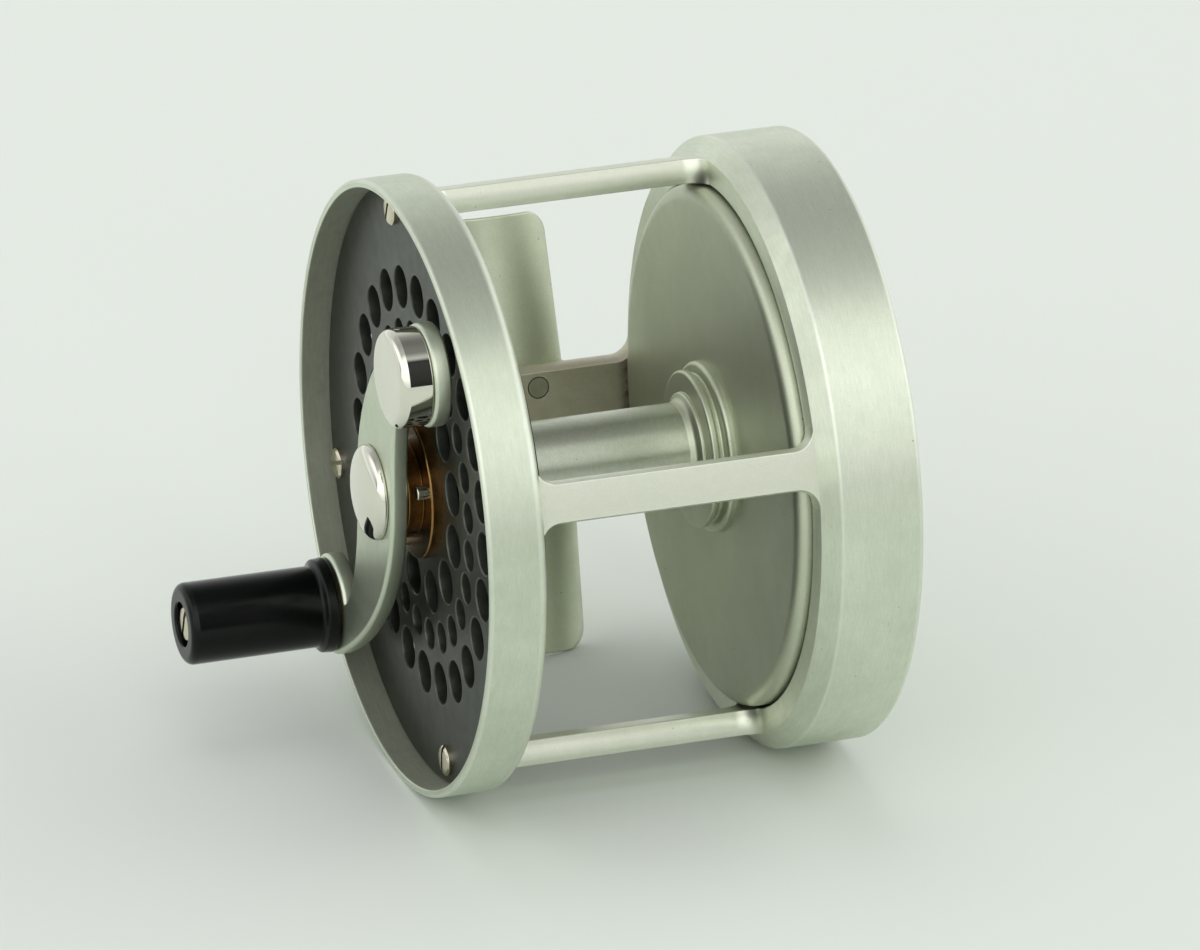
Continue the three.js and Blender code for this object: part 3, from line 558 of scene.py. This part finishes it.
def bar(name, angle, half, seat=False):
    """A cage bar along X with flared ends, built section by section."""
    fillet, steps = 3.0, 10
    flare = []
    for k in range(steps + 1):
        a = math.pi / 2 * k / steps
        flare.append((FRONT_X + fillet * (1 - math.cos(a)), half + fillet * (1 - math.sin(a))))
    middle = [20, 30, 40, 44]           # plain stations between the flares
    if seat:    # a pair of stations close together makes each step of the seat
        middle += [SEAT_FROM - 0.01, SEAT_FROM + 0.01, SEAT_TO - 0.01, SEAT_TO + 0.01]
    stations = flare + [(x, half) for x in sorted(middle)]
    stations += [(FRONT_X + REAR_X - x, h) for x, h in reversed(flare)]
    # both ends run on a little into the ring and the housing
    stations = [(FRONT_X - 0.15, half + fillet), *stations, (REAR_X + 0.03, half + fillet)]
    across = max(4, round(half * 1.5))
    ny, nz = polar(1, angle)
    sections = []
    for x, h in stations:
        section = []
        for u, r in bar_outline(h, across):
            theta = math.atan2(u, MEAN_R)
            t, height = r * math.sin(theta), r * math.cos(theta)
            if seat and SEAT_FROM < x < SEAT_TO:
                height = min(height, SEAT_H)
            section.append((x, ny * height - nz * t, nz * height + ny * t))
        sections.append(section)
    return loft(name, sections)


RIVET_X, RIVET_T, RIVET_R, RIVET_GAP = 35.0, (-7.3, 7.3), 1.5, 0.14
DRILL_FROM, DRILL_TO = 36, 39.5


def along_foot(obj, t):
    """Turns a lathe made about X to point out through the foot bar, t to one side of its middle."""
    obj.data.transform(Matrix.Rotation(math.radians(-90), 4, "Y"))
    obj.data.transform(Matrix.Translation(Vector((RIVET_X, -t, 0)) * MM))
    obj.data.transform(Matrix.Rotation(math.radians(FOOT_ANGLE - 90), 4, "X"))
    return obj


for label, angle, half in (("top", TOP_ANGLE, BAR_HALF), ("bottom", BOTTOM_ANGLE, BAR_HALF),
                           ("front", FRONT_ANGLE, BAR_HALF), ("foot", FOOT_ANGLE, FOOT_BAR_HALF)):
    piece = bar(f"frame_bar_{label}", angle, half, label == "foot")
    if label == "foot":
        for t in RIVET_T:
            r = RIVET_R + RIVET_GAP
            drill = lathe("drill", [(DRILL_FROM, 0), (DRILL_FROM, r), (DRILL_TO, r), (DRILL_TO, 0)],
                          sides=40)
            cut(piece, along_foot(drill, t))
    dress(piece, STAINED_AND_SHADED if label == "foot" else BAR_SATIN, "frame", "satin_aluminium", "frame")

# ---------------------------------------------------------------- perforated end plate
PLATE_X, PLATE_BACK, PLATE_R, PLATE_BORE = 4.45, 6.3, 42.95, 5.3
PLATE_SCREW_RING, PLATE_SCREW_R, PLATE_SCREW_HIGH = 39.7, 2.25, 0.93
SCREW_ANGLES = (TOP_ANGLE, FRONT_ANGLE, BOTTOM_ANGLE, FOOT_ANGLE)
SLOT_TURNS = (20, -12, 2, 65)       # how each plate screw's slot happens to stand
# each row of holes: how many, the row's radius, a hole's radius, the first one's angle, and sides
HOLE_ROWS = [(24, 28.6, 3.05, 12.5, 40), (24, 21.9, 2.2, 5.0, 32), (12, 15.3, 3.15, 12.5, 40)]
holes = [circle(PLATE_BORE)]
for count, ring, r, first_angle, sides in HOLE_ROWS:
    holes += [circle(r, polar(ring, first_angle + 360 * k / count), sides) for k in range(count)]
face_plate = plate("face_plate_perforated", circle(PLATE_R, sides=RIM_SIDES), holes, PLATE_X,
                   PLATE_BACK, 0.25, 0.1, hole_round=0.22)
dress(face_plate, DARK_PLATE, "frame", "dark_anodised", "face_plate")


def slotted_screw(name, head_x, seat_x, r, centre, turn, facing=-1, dome=0.25, width=0.62, depth=0.6):
    """A domed screw head of radius r, standing on the plane x = seat_x and facing -X or +X, with a
    slot width wide and depth deep that is turned by turn degrees."""
    rise = abs(seat_x - head_x)
    profile = [(0, 0), (0, r * 0.55), (dome * 0.5, r * 0.85, 0.2), (dome + 0.15, r, 0.12),
               (rise + 0.05, r), (rise + 0.05, 0)]
    points = [(head_x - facing * p[0], *p[1:]) for p in profile]
    head = lathe(name, points, centre, 40)
    return cut(head, block((2 * depth, width, 3 * r), head_x, centre, turn))


for i, angle in enumerate(SCREW_ANGLES):
    piece = slotted_screw(f"plate_screw_head_{i + 1}", PLATE_X - PLATE_SCREW_HIGH, PLATE_X,
                          PLATE_SCREW_R, polar(PLATE_SCREW_RING, angle), SLOT_TURNS[i])
    dress(piece, NICKEL, "frame", "nickel", f"plate_screw_{i + 1}")

BOSS_FRONT, BEARING_BOSS_R = 0.4, 6.8
RIM_FRONT, RIM_BACK, BEARING_RIM_R = 2.8, 4.44, 10.35       # the flange against the end plate
NECK_R, NECK_END_R, NECK_BACK = 5.1, 5.0, 7.6               # the neck through the plate's bore
PIN_ANGLES, PIN_RING, PIN_FRONT, PIN_BACK, PIN_R = (162.5, 42.5, -77.5), 9, 1.0, 4.0, 1.0
bearing = lathe("crank_bearing_turned", [
    (BOSS_FRONT, SPINDLE_BORE), (BOSS_FRONT, BEARING_BOSS_R, 0.35), (RIM_FRONT, BEARING_BOSS_R, 0.15),
    (RIM_FRONT, BEARING_RIM_R, 0.3), (RIM_BACK, BEARING_RIM_R), (RIM_BACK, NECK_R),
    (NECK_BACK, NECK_END_R, 0.3), (NECK_BACK, SPINDLE_BORE)], sides=120)
dress(bearing, BRONZE, "frame", "bronze", "crank_bearing")
for i, angle in enumerate(PIN_ANGLES):
    piece = lathe(f"bearing_rivet_head_{i + 1}", [
        (PIN_FRONT, 0), (PIN_FRONT, PIN_R, 0.18), (PIN_BACK, PIN_R), (PIN_BACK, 0)],
        polar(PIN_RING, angle), 32)
    dress(piece, NICKEL, "frame", "steel", f"bearing_rivet_{i + 1}")

# ---------------------------------------------------------------- crank
ARM_X, ARM_BACK = -2.55, 0.0
ARM_REACH, ARM_ANGLE, BOSS_R, HUB_HALF = 34.1, -51.1, 7.4, 8.2
KNOB_AT = polar(ARM_REACH, ARM_ANGLE)
WEIGHT_AT = polar(ARM_REACH, ARM_ANGLE + 180)
WEIGHT_TOP, WEIGHT_R = -7.3, 7.05
SEAT_GAP = 0.05                     # between the arm and what is screwed down on it


def bezier(p0, p1, p2, p3, n):
    """n points along a cubic curve, without its first one."""
    p0, p1, p2, p3 = (np.array(p, float) for p in (p0, p1, p2, p3))
    t = (np.arange(1, n + 1) / n)[:, None]
    return (1 - t) ** 3 * p0 + 3 * (1 - t) ** 2 * t * p1 + 3 * (1 - t) * t ** 2 * p2 + t ** 3 * p3


def arm_outline():
    """The S shape in (y, z): one half round the knob's boss, and the same half turned about."""
    w = HUB_HALF
    boss = np.array(KNOB_AT)
    join0, join1, steps = -119.4, 157.0, 48         # angles where the boss's round edge begins and ends
    rim = [boss + polar(BOSS_R, join0 + (join1 - join0) * k / steps) for k in range(1, steps + 1)]
    start = boss + polar(BOSS_R, join0)
    half = np.vstack([
        bezier((-w, 1), (-w, -13.5), (3.0, -24.7), start, 26), rim,
        bezier(rim[-1], (11.5, -21.6), (w, -15), (w, -6), 18), [[w, -2.5], [w, -1]]])
    return np.vstack([half, -half])


arm = plate("crank_arm_body", arm_outline(), [circle(SPINDLE_BORE)], ARM_X, ARM_BACK, 0.6, 0.4)
dress(arm, ARM, "rotor", "blasted_aluminium", "crank_arm")

weight = lathe("counterweight_polished", [
    (WEIGHT_TOP, 0), (WEIGHT_TOP, WEIGHT_R, 1.25), (ARM_X - SEAT_GAP, WEIGHT_R, 0.2),
    (ARM_X - SEAT_GAP, 0)], WEIGHT_AT, 128)
dress(weight, MIRROR, "rotor", "polished_metal", "counterweight")

NUT_BACK, NUT_RIM, NUT_TOP, NUT_R, NUT_BACK_R = ARM_X - SEAT_GAP, -3.05, -5.15, 6.9, 6.6
dome = [(NUT_BACK, NUT_BACK_R), (NUT_BACK, NUT_R, 0.1), (NUT_RIM + 0.1, NUT_R, 0.15)]
for degrees in range(8, 86, 6):
    a = math.radians(degrees)
    dome.append((NUT_RIM + (NUT_TOP - NUT_RIM) * math.sin(a), NUT_R * math.cos(a)))
dome = [(NUT_TOP, 0)] + dome[::-1] + [(NUT_BACK, 0)]
nut = lathe("crank_cap_nut_polished", dome, sides=128, sharp=SOFT)
dress(nut, MIRROR, "rotor", "polished_metal", "crank_cap_nut")

# ---------------------------------------------------------------- knob
KNOB_BASE, KNOB_TIP = -2.85, -25.0
KNOB_BORE, WELL_R, WELL_DEEP = 2.9, 3.25, 3.0           # the well holds the screw's head
TIP_R, GRIP_R, LIP_R, LIP_BASE_R = 6.0, 5.95, 6.8, 6.95
KNOB_SCREW_R, KNOB_SCREW_TOP, KNOB_SCREW_SEAT, KNOB_SLOT_TURN = 2.7, 0.35, 2.4, 18
COLLAR_R, COLLAR_BORE, COLLAR_HIGH = 5.2, 2.0, 0.65
BASE_POCKET_R, BASE_POCKET_DEEP = 5.4, 0.7              # clears the bush's collar
knob = lathe("handle_knob_turned", [
    (KNOB_TIP + WELL_DEEP, KNOB_BORE), (KNOB_TIP + WELL_DEEP, WELL_R), (KNOB_TIP, WELL_R, 0.3),
    (KNOB_TIP, TIP_R, 1.15), (KNOB_BASE - 2.25, GRIP_R, 0.45), (KNOB_BASE - 1.75, LIP_R, 0.3),
    (KNOB_BASE - 0.05, LIP_BASE_R, 0.35), (KNOB_BASE, 5.8, 0.1), (KNOB_BASE, BASE_POCKET_R),
    (KNOB_BASE - BASE_POCKET_DEEP, BASE_POCKET_R), (KNOB_BASE - BASE_POCKET_DEEP, KNOB_BORE)],
    KNOB_AT, 160)
dress(knob, KNOB, "knob", "black_composite", "handle_knob")
knob_screw = slotted_screw("knob_screw_head", KNOB_TIP + KNOB_SCREW_TOP, KNOB_TIP + KNOB_SCREW_SEAT,
                           KNOB_SCREW_R, KNOB_AT, KNOB_SLOT_TURN, width=0.8, depth=0.7)
dress(knob_screw, NICKEL, "rotor", "nickel", "knob_screw")
collar = lathe("knob_bush_collar", [
    (ARM_X - COLLAR_HIGH, COLLAR_BORE), (ARM_X - COLLAR_HIGH, COLLAR_R, 0.1), (ARM_X, COLLAR_R),
    (ARM_X, COLLAR_BORE)], KNOB_AT, 64)
dress(collar, BRONZE, "rotor", "bronze", "knob_bush")

# ---------------------------------------------------------------- spool
FLANGE_X, FLANGE_BACK = 48.1, 51.6
FLANGE_R, ARBOR_R = 37.85, 7.0
FRONT_FLANGE_X, FRONT_FLANGE_BACK = 9.2, 10.8
ARBOR_FROM, ARBOR_TO, ARBOR_BORE = 10.7, 43.6, 5
HUB_FRONT, HUB_BORE = 42.9, 6.5
ROLL_DEEP, ROLL_WIDE, ROLL_STEPS = 1.6, 2.2, 12         # the rounded edge on the line side
front_flange = lathe("spool_front_flange_turned", [
    (FRONT_FLANGE_X, SPINDLE_BORE), (FRONT_FLANGE_X, FLANGE_R, 0.3),
    (FRONT_FLANGE_BACK, FLANGE_R, 0.5), (FRONT_FLANGE_BACK, SPINDLE_BORE)], sides=240)
dress(front_flange, BLACK_PLATE, "rotor", "dark_anodised", "spool_front_flange")
arbor = lathe("spool_arbor_turned", [
    (ARBOR_FROM, ARBOR_BORE), (ARBOR_FROM, ARBOR_R), (ARBOR_TO, ARBOR_R), (ARBOR_TO, ARBOR_BORE)],
    sides=96)
dress(arbor, ARBOR, "rotor", "satin_aluminium", "spool_arbor")
# from the arbor to the flange: a small collar, a disc, a groove and a base
hub = lathe("spool_hub_turned", [
    (HUB_FRONT, HUB_BORE), (HUB_FRONT, 7.03), (43.9, 7.2, 1.2), (44.3, 8.3, 0.35), (44.8, 8.3, 0.1),
    (44.8, 11.4, 0.4), (45.9, 11.4, 0.4), (46.05, 10.7, 0.2), (46.8, 10.7, 0.3),
    (46.9, 12.45, 0.65), (FLANGE_X + 0.02, 12.45), (FLANGE_X + 0.02, HUB_BORE)], sides=128)
dress(hub, BLASTED, "rotor", "blasted_aluminium", "spool_hub")
roll = [(FLANGE_X + ROLL_DEEP * (1 - math.cos(a)), FLANGE_R - ROLL_WIDE * (1 - math.sin(a)))
        for a in np.linspace(0, math.pi / 2, ROLL_STEPS)]
rear_flange = lathe("spool_rear_flange_turned", [
    (FLANGE_X, SPINDLE_BORE), (FLANGE_X, FLANGE_R - 2.4), *roll, (FLANGE_BACK, FLANGE_R, 0.2),
    (FLANGE_BACK, SPINDLE_BORE)], sides=RIM_SIDES)
dress(rear_flange, FLANGE_SHADED, "rotor", "blasted_aluminium", "spool_rear_flange")

# ---------------------------------------------------------------- foot
FOOT_X, FOOT_FACE, FOOT_THICK, FOOT_END_THICK = 33.0, 41.9, 1.9, 0.9
FOOT_HALF, FOOT_MID, FOOT_END, FOOT_CORNER = 32.55, 8.6, 7.8, 3.3     # half length, half widths
REEL_SIDE_R, ROD_SIDE_R = 13.4, 11.5            # how each side of the saddle is curved across
TAPER_FROM, TAPER_SPAN = 0.34, 0.66             # where along its half length it thins to its ends
LIP_POWER, TIP_ROUND = 60, 0.2                  # how square its long edges are, and its round tips
TIP, TIP_SHARE = 0.005, 0.1                     # its end sections: inset, and share of thickness
ACROSS, ALONG = 8, 40                           # points from its middle to an edge and to a tip
PAD_HALF, PAD_SPREAD, PAD_HIGH, PAD_TOP_R = 8.0, 10.2, 0.9, 12.45


def foot_point(x, t, height):
    """A point at a height above the axis, t to one side of the foot bar's middle."""
    ny, nz = polar(1, FOOT_ANGLE)
    return x, ny * height - nz * t, nz * height + ny * t


def sag(u, r):
    """How far an arc of radius r has fallen at u from its top."""
    return r - math.sqrt(r * r - u * u)


def foot_section(t, squeeze):
    """One cross-section of the saddle: the rod side, a rounded lip, the reel side, and back."""
    along = abs(t) / FOOT_HALF
    past = max(0.0, abs(t) - (FOOT_HALF - FOOT_CORNER))
    corner = FOOT_CORNER - math.sqrt(max(0.0, FOOT_CORNER ** 2 - past ** 2))
    half = FOOT_MID + (FOOT_END - FOOT_MID) * along - corner
    taper = (FOOT_THICK - FOOT_END_THICK) * max(0.0, (along - TAPER_FROM) / TAPER_SPAN)
    points = []
    for side in (1, -1):
        for k in range(2 * ACROSS + 1):
            u = half * math.sin(math.pi / 2 * (k - ACROSS) / ACROSS) * side
            lip = math.sqrt(max(0.0, 1 - (abs(u) / half) ** LIP_POWER)) * squeeze
            reel = FOOT_FACE + taper + sag(u, REEL_SIDE_R)
            rod = FOOT_FACE + FOOT_THICK + sag(u, ROD_SIDE_R)
            mid, thick = (reel + rod) / 2, (rod - reel) / 2 * lip
            points.append(foot_point(FOOT_X + u, t, mid + thick * side))
    return points


sections = []
for k in range(2 * ALONG + 1):
    t = FOOT_HALF * math.sin(math.pi / 2 * (k - ALONG) / ALONG)
    end = (FOOT_HALF - abs(t)) / TIP_ROUND
    sections.append(foot_section(t, math.sqrt(1 - (1 - end) ** 2) if end < 1 else 1.0))
sections[0] = foot_section(-FOOT_HALF + TIP, TIP_SHARE)
sections[-1] = foot_section(FOOT_HALF - TIP, TIP_SHARE)
foot = loft("foot_saddle", sections, sharp=SOFT)
dress(foot, BLASTED, "frame", "blasted_aluminium", "foot")

pad_sections = []
for t in np.linspace(-PAD_SPREAD, PAD_SPREAD, 7):
    top = [(u, FOOT_FACE + PAD_HIGH + sag(u, PAD_TOP_R)) for u in np.linspace(PAD_HALF, -PAD_HALF, 13)]
    outline = [(-PAD_HALF, SEAT_H + 0.02), (PAD_HALF, SEAT_H + 0.02)] + top
    pad_sections.append([foot_point(FOOT_X + u, t, h) for u, h in outline])
pad = loft("foot_pad", pad_sections)
dress(pad, BLASTED, "frame", "blasted_aluminium", "foot")

RIVET_FROM, RIVET_TO = 36.5, 42.9
TRIM_FROM, TRIM_TO, TRIM_R = 30, 40, CAGE_IN - 0.03     # takes the rivets off flush inside the bar
for i, t in enumerate(RIVET_T):
    rivet = lathe(f"foot_rivet_head_{i + 1}", [
        (RIVET_FROM, 0), (RIVET_FROM, RIVET_R), (RIVET_TO, RIVET_R), (RIVET_TO, 0)], sides=48)
    along_foot(rivet, t)
    bore = lathe("bore", [(TRIM_FROM, 0), (TRIM_FROM, TRIM_R), (TRIM_TO, TRIM_R), (TRIM_TO, 0)],
                 sides=RIM_SIDES)
    cut(rivet, bore)
    dress(rivet, RIVET, "frame", "steel", f"foot_rivet_{i + 1}")

# ---------------------------------------------------------------- back of the reel
COVER_X, COVER_BACK, COVER_R, COVER_BORE = 62.1, 64.1, 42.35, 5.2
COVER_SCREW_RING, COVER_SCREW_R, COVER_SCREW_HIGH, COVER_SCREW_TURN = 40.2, 1.75, 0.9, 40
DRAG_AT, DRAG_STEM_HOLE = (0, 24.5), 2.4
BUSH_FRONT, BUSH_STEP, BUSH_BACK = 60.0, 61.8, 64.4
BUSH_BORE, BUSH_RIM_R, BUSH_NECK_R, BUSH_END_R = 3.05, 7.2, 5.15, 5.1
SPINDLE_FROM, SPINDLE_TO, SPINDLE_R = -3.8, 63.5, 3.0
cover = plate("rear_cover_disc", circle(COVER_R, sides=RIM_SIDES),
              [circle(COVER_BORE), circle(DRAG_STEM_HOLE, DRAG_AT, 32)], COVER_X, COVER_BACK, 0.1, 0.4)
dress(cover, SATIN, "frame", "satin_aluminium", "rear_cover")
for i, angle in enumerate(SCREW_ANGLES):
    piece = slotted_screw(f"cover_screw_head_{i + 1}", COVER_BACK + COVER_SCREW_HIGH, COVER_BACK,
                          COVER_SCREW_R, polar(COVER_SCREW_RING, angle), COVER_SCREW_TURN * i,
                          facing=1, width=0.5, depth=0.5)
    dress(piece, NICKEL, "frame", "nickel", f"cover_screw_{i + 1}")
bush = lathe("spindle_bush_turned", [
    (BUSH_FRONT, BUSH_BORE), (BUSH_FRONT, BUSH_RIM_R, 0.2), (BUSH_STEP, BUSH_RIM_R),
    (BUSH_STEP, BUSH_NECK_R), (BUSH_BACK, BUSH_END_R, 0.25), (BUSH_BACK, BUSH_BORE)])
dress(bush, BRONZE, "frame", "bronze", "spindle_bush")
spindle = lathe("spindle_ground", [
    (SPINDLE_FROM, 0), (SPINDLE_FROM, SPINDLE_R, 0.3), (SPINDLE_TO, SPINDLE_R, 0.35),
    (SPINDLE_TO, 0)])
dress(spindle, STEEL, "rotor", "steel", "spindle")

DRAG_R, FLUTES, FLUTE_R, FLUTE_AT, FLUTE_DEEP = 7.5, 10, 1.2, 8.05, 1.5
DRAG_FRONT, DRAG_BACK, DRAG_BORE = 64.4, 69.6, 2.0
DRAG_WELL_X, DRAG_WELL_R = 68.3, 2.9
DRAG_SCREW_TOP, DRAG_SCREW_SEAT, DRAG_SCREW_R = 69.4, 68.2, 2.55


def fluted(r, degrees):
    """The radius of the scalloped grip at an angle, for a profile radius r."""
    if r < DRAG_R - FLUTE_DEEP:
        return r
    pitch = 360 / FLUTES
    off = math.radians((degrees + pitch / 2) % pitch - pitch / 2)
    reach = FLUTE_R ** 2 - (FLUTE_AT * math.sin(off)) ** 2
    if reach <= 0:
        return r
    return r + min(0.0, FLUTE_AT * math.cos(off) - math.sqrt(reach) - DRAG_R)


drag = lathe("drag_knob_fluted", [
    (DRAG_FRONT, DRAG_BORE), (DRAG_FRONT, DRAG_R, 0.35), (DRAG_BACK, DRAG_R, 0.8),
    (DRAG_BACK, DRAG_WELL_R, 0.25), (DRAG_WELL_X, DRAG_WELL_R), (DRAG_WELL_X, DRAG_BORE)],
    DRAG_AT, 240, shape=fluted)
dress(drag, SATIN, "drag_dial", "satin_aluminium", "drag_knob")
drag_screw = slotted_screw("drag_screw_head", DRAG_SCREW_TOP, DRAG_SCREW_SEAT, DRAG_SCREW_R,
                           DRAG_AT, 0, facing=1)
dress(drag_screw, NICKEL, "drag_dial", "nickel", "drag_knob_screw")

# CAD solids that nothing stands for: the weight's screw and the works in the brake housing
for name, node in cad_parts.items():
    if node.hide_render:
        continue
    node.data.materials.clear()
    node.data.materials.append(LEATHER if name.startswith("brake_pad") else STEEL)

# ---------------------------------------------------------------- table and light
FLOOR_HALF = 3.0                        # metres, as all lengths in this section
LAMP_POWER, LAMP_SIZE, LAMP_TILT = 2.2, 1.0, -15
LAMP_AT = Vector((0.05, 0.3, 1.1))
SLIT_AT, SLIT_OUTER, SLIT_INNER = 0.31, 0.105, 0.085    # in the x part of a unit direction
TENT_SIDES = 1.5
floor_mesh = bpy.data.meshes.new("floor")
corners = [(-1, -1), (1, -1), (1, 1), (-1, 1)]
floor_mesh.from_pydata([(i * FLOOR_HALF, j * FLOOR_HALF, 0) for i, j in corners], [],
                       [(0, 1, 2, 3)])
floor = bpy.data.objects.new("floor", floor_mesh)
bpy.context.scene.collection.objects.link(floor)
paper, _, shader = new_material("paper")
shader.inputs["Base Color"].default_value = rgb(222, 227, 221)
shader.inputs["Roughness"].default_value = 0.9
floor_mesh.materials.append(paper)

# a wide lamp overhead that only diffuse surfaces see, for the soft shadow on the table
lamp = bpy.data.objects.new("overhead", bpy.data.lights.new("overhead", "AREA"))
bpy.context.scene.collection.objects.link(lamp)
lamp.data.shape, lamp.data.size = "DISK", LAMP_SIZE
lamp.data.energy = LAMP_POWER
lamp.location = ORIGIN + LAMP_AT
lamp.rotation_euler = (math.radians(LAMP_TILT), 0, 0)
lamp.visible_glossy = False

world = bpy.data.worlds.new("studio")
bpy.context.scene.world = world
world.use_nodes = True
wg = Graph(world.node_tree)
look = wg.node("SeparateXYZ", Vector=wg.node("TexCoord").outputs["Generated"])
side, ahead, rise = look.outputs[0], wg.math("MULTIPLY", look.outputs[1], -1.0), look.outputs[2]
over = wg.math("MULTIPLY", wg.math("ARCTAN2", rise, ahead), 180 / math.pi)

# light tent, as brightness against the angle from the horizon in front, over the top, to the back.
# The stops are halved for the ramp, which holds 0 to 1, and doubled again after it.
ramp = wg.node("ValToRGB")
ramp.color_ramp.interpolation = "EASE"
stops = [(0, 0.95), (20, 1.4), (48, 1.75), (64, 1.35), (80, 0.55), (105, 0.42), (125, 0.5),
         (145, 0.72), (165, 0.85), (180, 1.05)]
elements = ramp.color_ramp.elements
elements.remove(elements[1])
for k, (angle, level) in enumerate(stops):
    stop = elements[0] if k == 0 else elements.new(angle / 180)
    stop.position, stop.color = angle / 180, (level / 2, level / 2, level / 2, 1)
wg.put(ramp.inputs[0], wg.math("DIVIDE", over, 180.0))
tent = wg.math("MULTIPLY", ramp.outputs[0], 2.0)
# both sides of the tent are evenly bright from a little above the table
wing = wg.math("MULTIPLY", wg.ramp(wg.math("ABSOLUTE", side), 0.5, 0.75),
               wg.ramp(rise, 0.2, 0.45))
tent = wg.math("ADD", wg.math("MULTIPLY", tent, wg.math("SUBTRACT", 1.0, wing)),
               wg.math("MULTIPLY", wing, TENT_SIDES))
# dark opening beside the camera, from the table up over the top
off_slit = wg.math("ABSOLUTE", wg.math("SUBTRACT", side, SLIT_AT))
slit = wg.ramp(off_slit, SLIT_OUTER, SLIT_INNER)
shut = wg.ramp(over, 57.0, 64.0, 0.97, 0.55)
shut = wg.math("MULTIPLY", shut, wg.ramp(over, 150.0, 115.0))
tent = wg.math("MULTIPLY", tent, wg.math("SUBTRACT", 1.0, wg.math("MULTIPLY", slit, shut)))
back = world.node_tree.nodes["Background"]
back.inputs["Color"].default_value = rgb(252, 254, 252)
wg.put(back.inputs["Strength"], tent)

scene = bpy.context.scene
scene.view_settings.view_transform = "Standard"
scene.view_settings.look = "None"
scene.view_settings.exposure = 0.0
